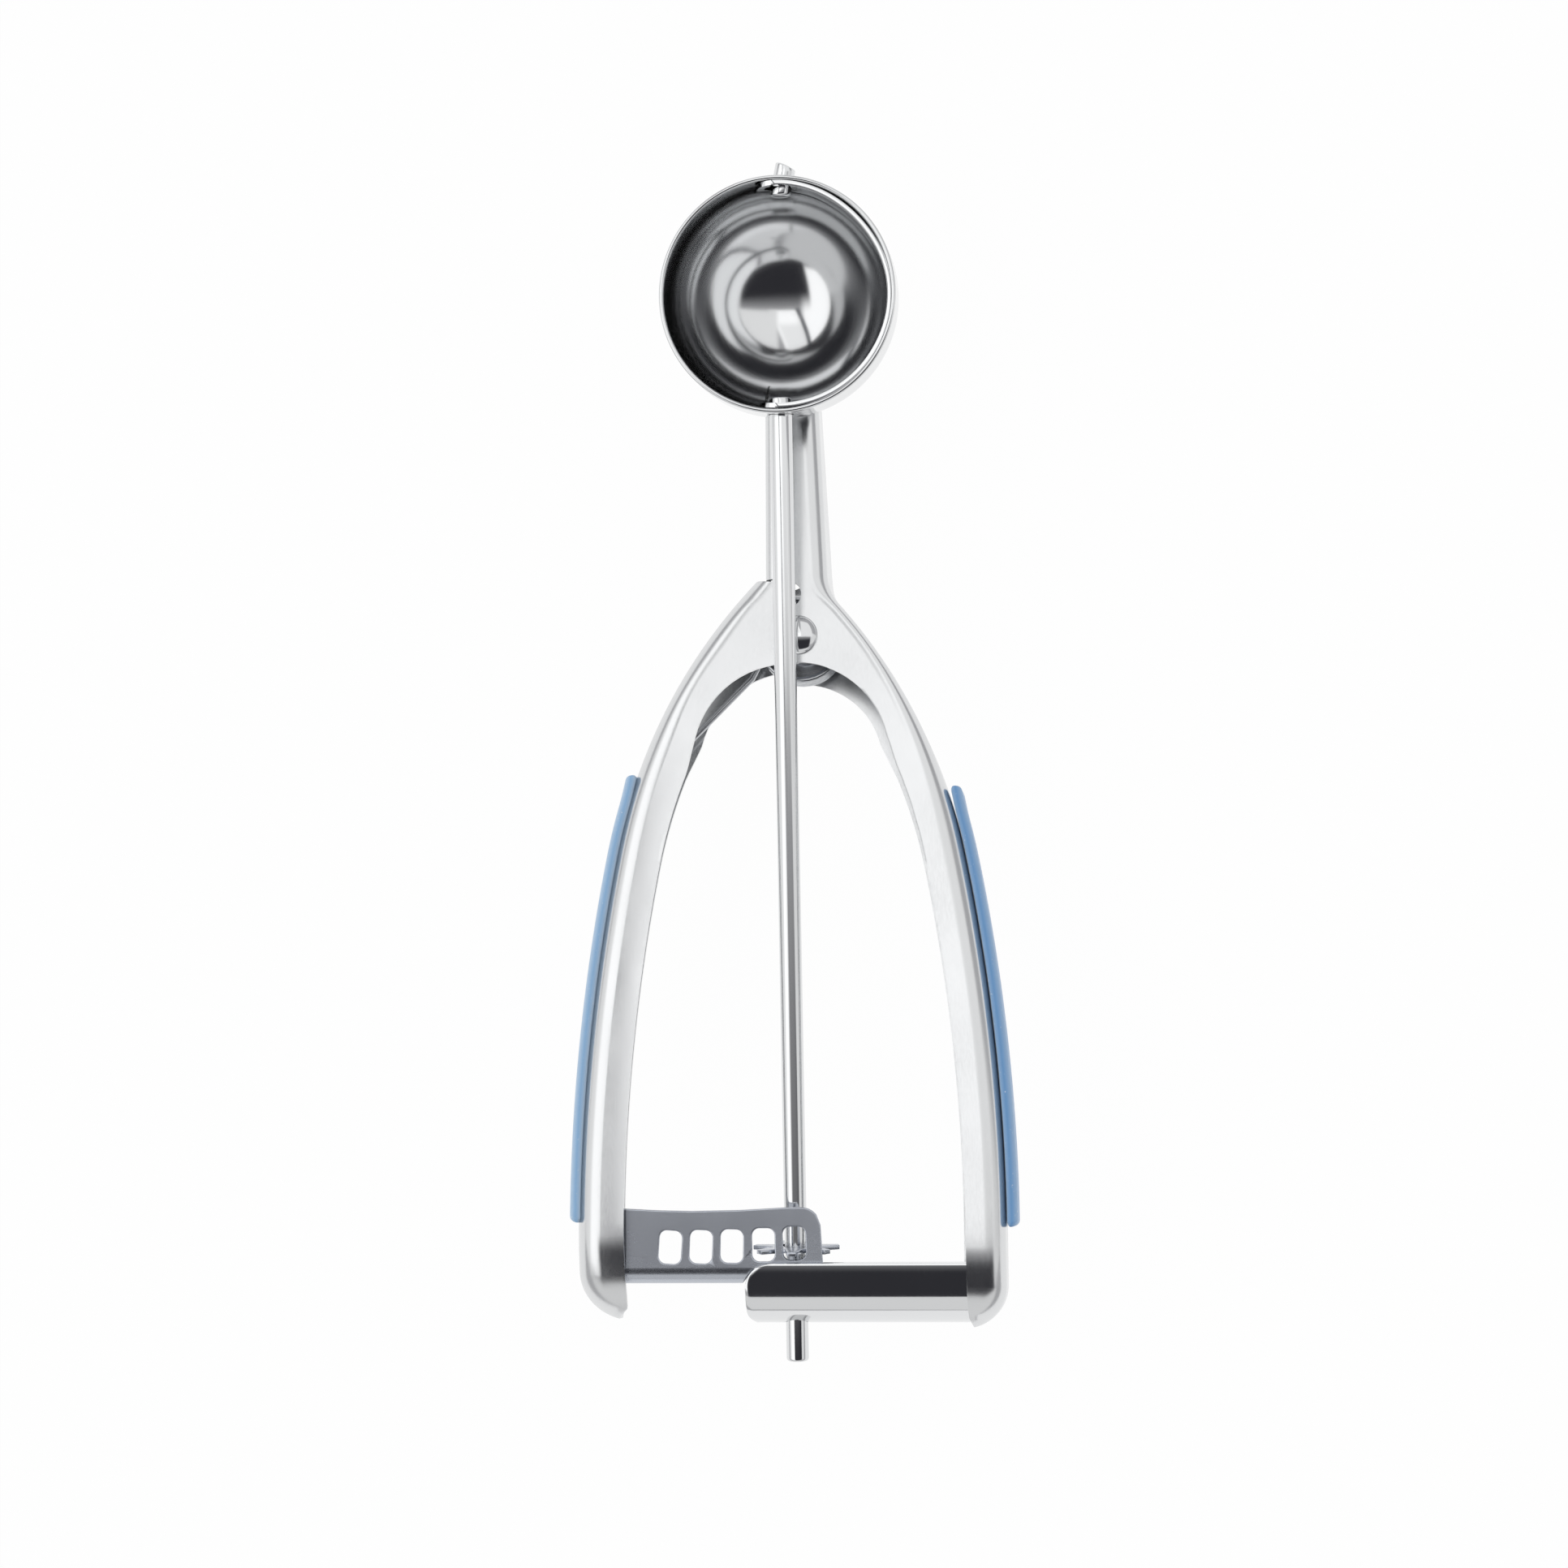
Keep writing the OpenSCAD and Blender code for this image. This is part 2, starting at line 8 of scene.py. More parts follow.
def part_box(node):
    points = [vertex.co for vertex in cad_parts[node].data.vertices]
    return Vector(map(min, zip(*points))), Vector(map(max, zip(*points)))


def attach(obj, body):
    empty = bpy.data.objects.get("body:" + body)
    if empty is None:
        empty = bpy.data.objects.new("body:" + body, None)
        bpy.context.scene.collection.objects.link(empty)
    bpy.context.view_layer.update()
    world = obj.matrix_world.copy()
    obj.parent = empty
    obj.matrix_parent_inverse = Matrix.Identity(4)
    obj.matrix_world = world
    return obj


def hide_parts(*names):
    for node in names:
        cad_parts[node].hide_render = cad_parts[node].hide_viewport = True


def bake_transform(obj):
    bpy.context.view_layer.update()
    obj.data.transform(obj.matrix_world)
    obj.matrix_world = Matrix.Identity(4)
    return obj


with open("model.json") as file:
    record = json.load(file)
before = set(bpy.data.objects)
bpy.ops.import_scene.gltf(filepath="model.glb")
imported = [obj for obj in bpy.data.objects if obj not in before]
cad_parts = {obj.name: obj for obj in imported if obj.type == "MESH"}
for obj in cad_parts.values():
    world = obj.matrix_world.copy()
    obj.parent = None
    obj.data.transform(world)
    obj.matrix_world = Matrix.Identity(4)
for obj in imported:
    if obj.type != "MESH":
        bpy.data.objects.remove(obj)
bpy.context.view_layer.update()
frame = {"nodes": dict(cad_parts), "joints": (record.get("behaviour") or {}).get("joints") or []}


# ---- Bowl ---------------------------------------------------------------------------------
# A deep-drawn stainless steel cup, 40 mm across: a round bottom under a short straight collar.
# Its rim is rolled smooth, its inside keeps faint rings from the polishing lathe, and two
# round holes in the collar take the shaft and the pin.
MM = 0.001
bowl_low, bowl_high = [corner / MM for corner in map(Vector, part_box("bowl"))]
shaft_low, shaft_high = [corner / MM for corner in map(Vector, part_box("drive_shaft"))]
bowl_y = (bowl_low.y + bowl_high.y) / 2
bowl_r = (bowl_high.y - bowl_low.y) / 2
shaft_z = (shaft_low.z + shaft_high.z) / 2
shaft_r = (shaft_high.z - shaft_low.z) / 2
bowl_wall = 0.8
rim_z = bowl_high.z
cup_z = bowl_low.z + bowl_r


def arc(centre, radius, start, end, steps):
    """Points of an arc, its angles in degrees."""
    angles = [radians(start + (end - start) * i / steps) for i in range(steps + 1)]
    return [Vector((centre[0] + radius * cos(a), centre[1] + radius * sin(a))) for a in angles]


def only(thing):
    """Makes thing the one selected object."""
    bpy.ops.object.select_all(action="DESELECT")
    thing.select_set(True)
    bpy.context.view_layer.objects.active = thing


def spun(name, profile, centre, axis=(0, 0, 1), steps=144):
    """Spins a profile of (radius, height) points, in mm, round an axis that starts at centre."""
    mesh = bpy.data.meshes.new(name)
    edges = [(i, i + 1) for i in range(len(profile) - 1)]
    mesh.from_pydata([(r, 0, h) for r, h in profile], edges, [])
    piece = bpy.data.objects.new(name, mesh)
    bpy.context.collection.objects.link(piece)
    only(piece)
    bpy.ops.object.mode_set(mode="EDIT")
    bpy.ops.mesh.select_all(action="SELECT")
    bpy.ops.mesh.spin(steps=steps, angle=2 * pi, center=(0, 0, 0), axis=(0, 0, 1))
    bpy.ops.mesh.remove_doubles(threshold=0.0005)
    bpy.ops.mesh.normals_make_consistent(inside=False)
    bpy.ops.object.mode_set(mode="OBJECT")
    turn = Vector((0, 0, 1)).rotation_difference(Vector(axis)).to_matrix().to_4x4()
    mesh.transform(Matrix.Scale(MM, 4) @ Matrix.Translation(centre) @ turn)
    return piece


def smooth(piece, angle=40):
    """Shades the piece smooth up to that angle between its faces."""
    only(piece)
    bpy.ops.object.shade_smooth_by_angle(angle=radians(angle))


def use(piece, kind, **settings):
    """Adds a modifier with its settings and applies it."""
    only(piece)
    modifier = piece.modifiers.new(kind.title(), kind)
    for key, value in settings.items():
        setattr(modifier, key, value)
    bpy.ops.object.modifier_apply(modifier=modifier.name)


def rod(name, start, end, radius, sides=64):
    """A plain cylinder between two points, in mm in the frame."""
    start, end = Vector(start), Vector(end)
    way = end - start
    bpy.ops.object.select_all(action="DESELECT")
    bpy.ops.mesh.primitive_cylinder_add(vertices=sides, radius=radius, depth=way.length)
    piece = bpy.context.active_object
    piece.name = name
    turn = Vector((0, 0, 1)).rotation_difference(way).to_matrix().to_4x4()
    piece.data.transform(Matrix.Scale(MM, 4) @ Matrix.Translation((start + end) / 2) @ turn)
    return piece


def drill(piece, *cutters):
    """Cuts the cutters out of the piece and deletes them."""
    for cutter in cutters:
        use(piece, "BOOLEAN", operation="DIFFERENCE", object=cutter, solver="EXACT")
        bpy.data.objects.remove(cutter)


def coat(piece, material):
    """Gives the whole piece one material."""
    piece.data.materials.clear()
    piece.data.materials.append(material)


def linear(colour):
    """An sRGB hex colour as linear red, green, blue and alpha."""
    parts = [int(colour[i:i + 2], 16) / 255 for i in (1, 3, 5)]
    return [p / 12.92 if p <= 0.04045 else ((p + 0.055) / 1.055) ** 2.4 for p in parts] + [1]


def add(tree, kind, links=None, **settings):
    """Adds a node, sets its properties and inputs, and links its inputs to other outputs."""
    node = tree.nodes.new("ShaderNode" + kind)
    for key, value in settings.items():
        if hasattr(node, key):
            setattr(node, key, value)
        else:
            node.inputs[key.replace("_", " ")].default_value = value
    for socket, source in (links or {}).items():
        tree.links.new(source, node.inputs[socket])
    return node


def new_material(name):
    """An empty material with its output node."""
    material = bpy.data.materials.new(name)
    material.use_nodes = True
    tree = material.node_tree
    tree.nodes.clear()
    return material, tree, tree.nodes.new("ShaderNodeOutputMaterial")


def ramp(tree, source, stops):
    """A grey ramp over source, its stops as (position, value)."""
    node = add(tree, "ValToRGB", {"Fac": source})
    bar = node.color_ramp
    while len(bar.elements) < len(stops):
        bar.elements.new(0.5)
    for element, (place, value) in zip(bar.elements, stops):
        element.position = place
        element.color = (value, value, value, 1)
    return node.outputs["Color"]


def steel(name, colour, roughness, grain_mm, stretch, depth, spin_at=None):
    """Stainless steel with fine lines left by brushing or polishing, stretched along an axis.

    roughness is its lowest and highest value, grain_mm the lines' spacing, stretch how much
    longer they are along X, Y and Z, and depth the bump's height in mm. With spin_at the lines
    are rings round an upright axis through that point."""
    material, tree, output = new_material(name)
    place = add(tree, "TexCoord").outputs["Object"]
    if spin_at:
        centred = add(tree, "VectorMath", {0: place}, operation="SUBTRACT")
        centred.inputs[1].default_value = [v * MM for v in spin_at]
        parts = add(tree, "SeparateXYZ", {0: centred.outputs[0]})
        flat = add(tree, "CombineXYZ", {"X": parts.outputs["X"], "Y": parts.outputs["Y"]})
        round_ = add(tree, "VectorMath", {0: flat.outputs[0]}, operation="LENGTH")
        place = add(tree, "CombineXYZ", {"X": round_.outputs["Value"],
                                         "Z": parts.outputs["Z"]}).outputs[0]
    scale = [1 / (grain_mm * MM * s) for s in stretch]
    lines_at = add(tree, "Mapping", {"Vector": place}, Scale=scale)
    lines = add(tree, "TexNoise", {"Vector": lines_at.outputs[0]}, Scale=1.0, Detail=3.0,
                Roughness=0.6)
    patches = add(tree, "TexNoise", {"Vector": place}, Scale=1 / (14 * MM), Detail=2.0)
    mixed = add(tree, "Math", {0: lines.outputs["Fac"], 1: patches.outputs["Fac"]},
                operation="MULTIPLY")
    low, high = roughness
    rough = add(tree, "MapRange", {"Value": mixed.outputs[0]}, From_Min=0.1, From_Max=0.45,
                To_Min=low, To_Max=high)
    bump = add(tree, "Bump", {"Height": lines.outputs["Fac"]}, Strength=1.0,
               Distance=depth * MM)
    shade = add(tree, "BsdfPrincipled", {"Roughness": rough.outputs[0],
                                         "Normal": bump.outputs[0]},
                Base_Color=linear(colour), Metallic=1.0)
    tree.links.new(shade.outputs[0], output.inputs["Surface"])
    return material


# Stainless steel polished on a lathe: soft, slightly drawn-out reflections and faint rings. The
# rings are really about 0.05 mm apart, and are drawn five times coarser so that they show.
lathe_steel = steel("spun_stainless_steel", "#DADBDC", (0.09, 0.15), 0.25, (1, 1, 1), 0.0004,
                    spin_at=(0, bowl_y, 0))

outer = arc((0, cup_z), bowl_r, -90, 0, 48)
lip = arc((bowl_r - bowl_wall / 2, rim_z - bowl_wall / 2), bowl_wall / 2, 0, 180, 10)
inner = arc((0, cup_z), bowl_r - bowl_wall, 0, -90, 48)
collar = [Vector((bowl_r, cup_z + (rim_z - cup_z) * i / 6)) for i in range(1, 6)]
collar_in = [Vector((bowl_r - bowl_wall, p.y)) for p in reversed(collar)]
bowl = spun("bowl_cup", outer + collar + lip + collar_in + inner, (0, bowl_y, 0), steps=160)
pin_z = shaft_z
pin_slope = tan(radians(12))
pin_shift = 0.3
pin_from = bowl_high.y - 4
pin_hole_r = 1.8
shaft_gap = 0.25
shaft_hole = rod("cut", (0, bowl_low.y - 2, shaft_z), (0, bowl_low.y + 4, shaft_z),
                 shaft_r + shaft_gap)
pin_hole = rod("cut", (pin_shift, pin_from, pin_z),
               (pin_shift + 5 * pin_slope, bowl_high.y + 1, pin_z), pin_hole_r)
drill(bowl, shaft_hole, pin_hole)
smooth(bowl, 35)
coat(bowl, lathe_steel)
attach(bowl, "frame")
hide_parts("bowl")


# ---- Sweeper ------------------------------------------------------------------------------
# A springy strip of stainless steel, bent to the bowl's inside, that pushes the ice cream out.
# Its lower eye is fixed to the shaft and its upper eye turns on the pin, which is pressed
# through the wall and leans a little outside it.
band_r = 18.3
band_w = 7.0
band_t = 0.8
band_sink = radians(4)
band_pinch = 0.0108
band_edge = 0.15
eye_r = 2.1


def formed(name, rows, thickness=0.0, bevel=0.0, flip=False):
    """A flat blank of sheet, bent so that its points lie in the given rows, in mm in the frame.

    thickness grows behind the blank's face, bevel rounds the sheet's cut edges, and flip turns
    the blank over, so that its face looks the other way."""
    across, along = len(rows[0]) - 1, len(rows) - 1
    bpy.ops.object.select_all(action="DESELECT")
    bpy.ops.mesh.primitive_grid_add(x_subdivisions=across, y_subdivisions=along, size=1)
    piece = bpy.context.active_object
    piece.name = name
    for vertex, point in zip(piece.data.vertices, [p for row in rows for p in row]):
        vertex.co = point
    only(piece)
    bpy.ops.object.mode_set(mode="EDIT")
    bpy.ops.mesh.select_all(action="SELECT")
    bpy.ops.mesh.remove_doubles(threshold=0.001)
    if flip:
        bpy.ops.mesh.flip_normals()
    bpy.ops.object.mode_set(mode="OBJECT")
    if thickness:
        use(piece, "SOLIDIFY", thickness=thickness, offset=-1, use_quality_normals=True)
    if bevel:
        use(piece, "BEVEL", width=bevel, segments=2, limit_method="ANGLE",
            angle_limit=radians(60))
    return piece


def sized(piece):
    """Takes a piece from millimetres to metres."""
    piece.data.transform(Matrix.Scale(MM, 4))
    return piece


past = degrees(asin(band_w / 2 / band_r))
band_rows = []
band_steps = 96
for i in range(band_steps + 1):
    angle = -90 - past + (180 + 2 * past) * i / band_steps
    beyond = max(0, abs(angle) - 90)
    half = band_w / 2 * sqrt(max(0.0001, 1 - (beyond / past) ** 2))
    pinch = 1 - band_pinch * (1 + cos(radians(4 * (angle - 45)))) * (0 < angle < 90)
    out = Vector((cos(radians(angle)), sin(radians(angle)), 0)) * band_r * pinch
    band_rows.append([])
    for j in range(7):
        point = out + Vector((0, 0, half * (j / 3 - 1)))
        point.rotate(Matrix.Rotation(band_sink, 3, "Y"))
        band_rows[-1].append(point + Vector((0, bowl_y, shaft_z)))
band = sized(formed("sweeper_band", band_rows, band_t, band_edge))
drill(band, rod("cut", (0, bowl_low.y, shaft_z), (0, bowl_y, shaft_z), shaft_r),
      rod("cut", (0, bowl_y, pin_z), (0, bowl_high.y, pin_z), eye_r))
smooth(band)
# Machine-polished stainless steel: near-mirror reflections with crisp edges, and fine lines
# along the piece, drawn coarser than the real 0.03 mm.
polished = steel("polished_stainless_steel", "#E0E1E2", (0.07, 0.12), 0.2, (1, 40, 1), 0.0002)
coat(band, polished)
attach(band, "shaft")
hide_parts("sweeper_blade")

pin_low, pin_high = [corner / MM for corner in map(Vector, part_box("sweeper_pin"))]
pin_r = (pin_high.z - pin_low.z) / 2
pin_long = pin_high.y - pin_low.y
pin_round = 0.5
pin_slant = 0.38
end_cap = [Vector((pin_r * cos(a), pin_long - 0.3 + pin_round * sin(a)))
           for a in [radians(9 * i) for i in range(11)]]
foot_round = arc((pin_r - pin_round, pin_round), pin_round, -90, 0, 5)
shank = [Vector((pin_r, pin_round + (pin_long - 2 * pin_round) * i / 6)) for i in range(1, 6)]
inside = spun("sweeper_pin", [Vector((0, 0))] + foot_round + shank + end_cap,
              (0, pin_low.y, pin_z), axis=(0, 1, 0), steps=48)
for vertex in inside.data.vertices:
    outward = max(0, vertex.co.y / MM - bowl_high.y) / 2
    vertex.co.y -= outward * pin_slant * (vertex.co.x + 0.4 * pin_r * MM)
    vertex.co.x += pin_shift * MM + max(0, vertex.co.y - pin_from * MM) * pin_slope
smooth(inside)
coat(inside, polished)
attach(inside, "frame")
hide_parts("sweeper_pin")


# ---- Drive shaft and pinion ---------------------------------------------------------------
# A polished round rod from the bowl to the tail below the crossbar, its ends rounded. The star
# wheel is a thin satin stamping with seven teeth, pressed onto the rod near its tail.
tail_r = 0.55
top_r = 0.3
tail_over = 0.8
shaft_foot = shaft_low.y - tail_over
length = shaft_high.y - shaft_foot
shaft_profile = ([Vector((0, 0))] + arc((shaft_r - tail_r, tail_r), tail_r, -90, 0, 8)
                 + [Vector((shaft_r, length * i / 12)) for i in range(1, 12)]
                 + arc((shaft_r - top_r, length - top_r), top_r, 0, 90, 4) + [Vector((0, length))])
shaft = spun("drive_shaft_rod", shaft_profile, (0, shaft_foot, shaft_z), axis=(0, 1, 0), steps=96)
smooth(shaft)
coat(shaft, polished)
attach(shaft, "shaft")
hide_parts("drive_shaft")


def copied(name, node, bevel, segments=2):
    """A copy of a CAD node's mesh, its triangles joined again and its edges rounded."""
    source = frame["nodes"][node]
    piece = bpy.data.objects.new(name, source.data.copy())
    bpy.context.collection.objects.link(piece)
    only(piece)
    bpy.ops.object.mode_set(mode="EDIT")
    bpy.ops.mesh.select_all(action="SELECT")
    bpy.ops.mesh.remove_doubles(threshold=0.000002)
    bpy.ops.mesh.dissolve_limited(angle_limit=radians(1))
    bpy.ops.object.mode_set(mode="OBJECT")
    use(piece, "BEVEL", width=bevel * MM, segments=segments, limit_method="ANGLE",
        angle_limit=radians(40))
    smooth(piece)
    return piece


# Brushed satin stainless steel: a soft grey without clear reflections. Its brush marks run
# across, 0.15 mm apart instead of the real 0.05 mm.
satin = steel("satin_stainless_steel", "#BCC0C8", (0.22, 0.32), 0.15, (6, 1, 1), 0.0006)
wheel_edge = 0.12
wheel = copied("pinion_wheel", "pinion", wheel_edge)
wheel_y = sum(corner.y for corner in map(Vector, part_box("pinion"))) / 2
wheel_thin = 0.62
wheel.data.transform(Matrix.Translation((0, wheel_y, 0)) @ Matrix.Diagonal((1, wheel_thin, 1, 1))
                     @ Matrix.Translation((0, -wheel_y, 0)))
coat(wheel, satin)
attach(wheel, "shaft")
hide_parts("pinion")


# ---- Fixed handle -------------------------------------------------------------------------
# One stamping of 0.8 mm stainless steel: the neck welded to the bowl's wall, the yoke with its
# ear round the rivet, and the right arm, a channel that rolls over into a hook at its end.
squeeze = next(j for j in frame["joints"] if j["name"] == "handle_squeeze")
pivot = Vector(squeeze["pos_m"]) / MM
front_normal = Vector(squeeze["axis"]).normalized()
tilt = atan2(front_normal.y, front_normal.z)
pivot_x = pivot.x
sheet = 0.8
depth = 14.0
half_span = 35.7
arm_drop = 101.0
shoulder_r = 92.0
shoulder_end = Vector((6.45, 7.97))
shoulder_turn = 43.0
hook_r = 7.2
hook_turn = 78.0
hook_gap = 1.7
right_end = 116.8
shoulder_c = shoulder_end - shoulder_r * Vector((cos(radians(shoulder_turn)),
                                                 sin(radians(shoulder_turn))))
reach = half_span - shoulder_c.x
rise = arm_drop + shoulder_c.y
long_r = (reach ** 2 + rise ** 2 - shoulder_r ** 2) / (2 * (reach - shoulder_r))
long_c = Vector((half_span - long_r, -arm_drop))
long_turn = degrees(atan2(rise, long_r - reach))
arch_c = Vector((1.0, -20.5))
arch_r = 15.9
back_arch_r = 14.0
neck_lean = radians(2.56)
neck_foot = Vector((6.8, 7.0))
neck_left = -3.9
ear_r = 4.9
notch_y = 9.8
fillet_r = 9.0
arm_crown = 0.0125
arm_round = 3.5
hook_round = 2.6
hook_deep = 4.0
back_round = 1.5
cut_round = 0.27
cut_turn = radians(62)


def on_handle(x, y, z):
    """A place on the handles, in mm from the pivot's line, as a place in the frame."""
    turned = Vector((x, y, z))
    turned.rotate(Matrix.Rotation(-tilt, 3, "X"))
    return turned + Vector((0, pivot.y, pivot.z))


def stations(centre, radius, start, end, steps, side=1):
    """Places along a bend with the way that faces out of it; side -1 is a hollow bend."""
    way = [Vector((cos(a), sin(a))) for a in
           [radians(start + (end - start) * i / steps) for i in range(steps + 1)]]
    return [(centre + side * radius * w, w) for w in way]


def rolled(y, z, start, radius, low):
    """Depth z after the front has been rolled down towards the arm's end."""
    over = min(max(0, start - y), radius * 0.985)
    drop = radius - sqrt(radius ** 2 - over ** 2)
    return low + (z - low) * (1 + drop / low)


def mix(a, b, t):
    return a + (b - a) * t


def ease(t):
    t = min(1, max(0, t))
    return t * t * (3 - 2 * t)


def channel_row(edge, front, back, low, front_a, front_b, back_r, bead=0.0, crown=0.0):
    """A row of points across a channel, from its rear cheek's free edge to its front one's.

    front_a and front_b are the width and depth of the front edge's rounding, bead how far it
    stands above the flat beside it, and crown how quickly the flat falls away to it."""
    row = []
    into = (front - edge).normalized()
    back_into = (back - edge).normalized()
    turn = edge + back_into * back_r
    for i in range(5):
        row.append((back.lerp(turn, i / 5), -low))
    for i in range(9):
        a = pi / 2 * i / 9
        row.append((edge + back_into * back_r * (1 - sin(a)), -low + back_r * (1 - cos(a))))
    flat = (edge - front).length
    fall = crown * flat ** 2 / 2
    for i in range(4):
        row.append((edge, -low + back_r + (low - back_r - front_b - fall) * i / 4))
    for i in range(13):
        a = pi / 2 * i / 12
        inward = front_a * (1 - cos(a))
        row.append((edge + into * inward,
                    bead - (front_b + bead) * (1 - sin(a)) - crown * (flat - inward) ** 2 / 2))
    turn = edge + into * front_a
    flank = min(0.9, (turn - front).length / 3)
    for i in range(1, 7):
        place = turn.lerp(front, flank / (turn - front).length * i / 6)
        row.append((place, bead * (1 - ease(i / 6)) - crown * (place - front).length ** 2 / 2))
    for i in range(1, 8):
        place = front.lerp(turn, (1 - i / 7) * (1 - flank / (turn - front).length))
        row.append((place, -crown * (place - front).length ** 2 / 2))
    return row


def along_line(points, t):
    """The place at share t of the length of a line through points."""
    spans = [(b - a).length for a, b in zip(points, points[1:])]
    left = t * sum(spans)
    for a, b, span in zip(points, points[1:], spans):
        if left <= span:
            return a.lerp(b, left / span)
        left -= span
    return points[-1]


def free_edge(edge, out, width, hook_c):
    """The cheek's free edge across from edge; inside a tight hook it runs straight down."""
    place = edge - out * width
    if out.y < 0:
        down = -degrees(atan2(out.y, out.x)) / hook_turn
        place = Vector((half_span - width + 0.2 * down ** 3,
                        hook_c.y - down * (hook_r - hook_gap)))
    return place


def arm_rows(end, low, front_w, back_w, roll_at, roll_r, yoke):
    """Rows of the right arm from its hooked end up to its shoulder, which yoke describes."""
    hook_c = Vector((half_span - hook_r, hook_r - end))
    bends = stations(hook_c, hook_r, -hook_turn, 0, 18)
    straight = [(Vector((half_span, mix(hook_c.y, -arm_drop, i / 4))), Vector((1, 0)))
                for i in range(1, 4)]
    bends += straight + stations(long_c, long_r, 0, long_turn, 30)
    bends += stations(shoulder_c, shoulder_r, long_turn, yoke["turn"], 44)[1:]
    rows = []
    for edge, out in bends:
        angle = degrees(atan2(out.y, out.x))
        hook = ease(-angle / 60)
        front = free_edge(edge, out, front_w, hook_c)
        back = free_edge(edge, out, back_w, hook_c)
        if angle > yoke["foot"]:
            t = (angle - yoke["foot"]) / (yoke["turn"] - yoke["foot"])
            front = along_line(yoke["arch"], t)
            back = along_line(yoke["back_arch"], t)
        narrow = ease((angle - 10) / 28)
        front_a = min(mix(mix(arm_round, hook_round, hook), yoke["edge"], narrow),
                      (0.9 - 0.45 * ease((-angle - 50) / 28)) * (edge - front).length)
        front_b = min(mix(mix(arm_round, hook_deep, hook), yoke["deep"], narrow), 1.45 * front_a)
        back_r = min(mix(arm_round, back_round, narrow), 0.9 * (edge - back).length)
        rows.append(channel_row(edge, front, back, low, front_a, front_b, back_r,
                                yoke["bead"] * ease((angle - 14) / 26),
                                arm_crown * (1 - ease((angle - 12) / 16)) * (1 - hook)))
    return [[(p.x, p.y, rolled(p.y, z, roll_at, roll_r, -low)) for p, z in row] for row in rows]


neck_out = Vector((cos(neck_lean), sin(neck_lean)))
near = (neck_foot - shoulder_c).dot(neck_out)
leave = degrees(neck_lean + acos((fillet_r + near) / (shoulder_r + fillet_r)))
foot = 22


def arch_line(width, centre, radius):
    """The edge of the arch under the pivot, from the arm's free edge up to the rivet's ear."""
    start = shoulder_c + (shoulder_r - width) * Vector((cos(radians(foot)), sin(radians(foot))))
    return [start] + arc(centre, radius, 13, 96, 30)


front_w = 6.6
back_w = 7.55
roll_from = -103.4
roll_r = 16.5
yoke_a = 1.2
yoke_b = 1.6
bead = 0.06
fixed_rows = arm_rows(right_end, depth, front_w, back_w, roll_from, roll_r,
                      {"turn": leave, "foot": foot, "edge": yoke_a, "deep": yoke_b, "bead": bead,
                       "arch": arch_line(front_w, arch_c, arch_r),
                       "back_arch": arch_line(back_w, arch_c, back_arch_r)})
leave_out = Vector((cos(radians(leave)), sin(radians(leave))))
fillet_c = shoulder_c + (shoulder_r + fillet_r) * leave_out
ear_c = Vector((pivot_x, 0))
ear_left = arc(ear_c, ear_r, 234, 128, 12) + [Vector((-1.2, notch_y))]
ear_back = arc(ear_c, ear_r, 234, 140, 10) + [Vector((-3.2, 9.2))]
bowl_place = Vector((0, bowl_y, cup_z))
skin = bowl_r - bowl_wall / 2


def to_bowl(x, z):
    """How far up the handle a line at x and z gets before it is in the bowl's wall."""
    y = 38.0
    for _ in range(8):
        place = on_handle(x, y, z) - bowl_place
        y += (-sqrt(max(9, skin ** 2 - place.x ** 2 - min(0, place.z) ** 2)) - place.y) / cos(tilt)
    return y


side_a = 2.8
side_b = 2.4
for i, (edge, _) in enumerate(stations(fillet_c, fillet_r, leave, degrees(neck_lean), 12,
                                       -1)[1:]):
    t = (i + 1) / 12
    row = channel_row(edge, along_line(ear_left, t), along_line(ear_back, t), depth,
                      mix(yoke_a, side_a, ease(t)), mix(yoke_b, side_b, ease(t)), back_round,
                      bead * (1 - ease(t * 1.2 - 0.2)))
    fixed_rows.append([(p.x, p.y, z) for p, z in row])
neck_right_y = fillet_c.y - fillet_r * neck_out.y
neck_r = 2.0
neck_depth_top = 9.0
neck_top = 47
neck_steps = 24
side_rows = []


def neck_low(y):
    """Depth of the neck's side walls at a height."""
    return mix(depth, neck_depth_top, min(1, (y - 7) / 40))


for i in range(neck_steps + 1):
    t = i / neck_steps
    y_right = mix(neck_right_y, neck_top, t)
    y_left = mix(notch_y, neck_top, t)
    edge = neck_foot + Vector((-sin(neck_lean), cos(neck_lean))) * (y_right - neck_foot.y)
    fold = Vector((neck_left + neck_r, y_left))
    low = neck_low(y_right)
    back = edge - neck_out * 1.55
    row = channel_row(edge, fold, back, low, side_a, side_b, back_round)
    row = [(p.x, p.y, z) for p, z in row]
    left = [(neck_left + neck_r * (1 - sin(a)), y_left, -neck_r * (1 - cos(a)))
            for a in [pi / 2 * k / 8 for k in range(9)]]
    left += [(neck_left, y_left, mix(-neck_r, -neck_low(y_left), k / 5)) for k in range(1, 6)]
    if i:
        fixed_rows.append(row)
    side_rows.append(left)


def end_at_bowl(point):
    """Stops a point of the neck inside the bowl's wall."""
    x, y, z = point
    return (x, min(y, to_bowl(x, z)), z) if y > 25 else point


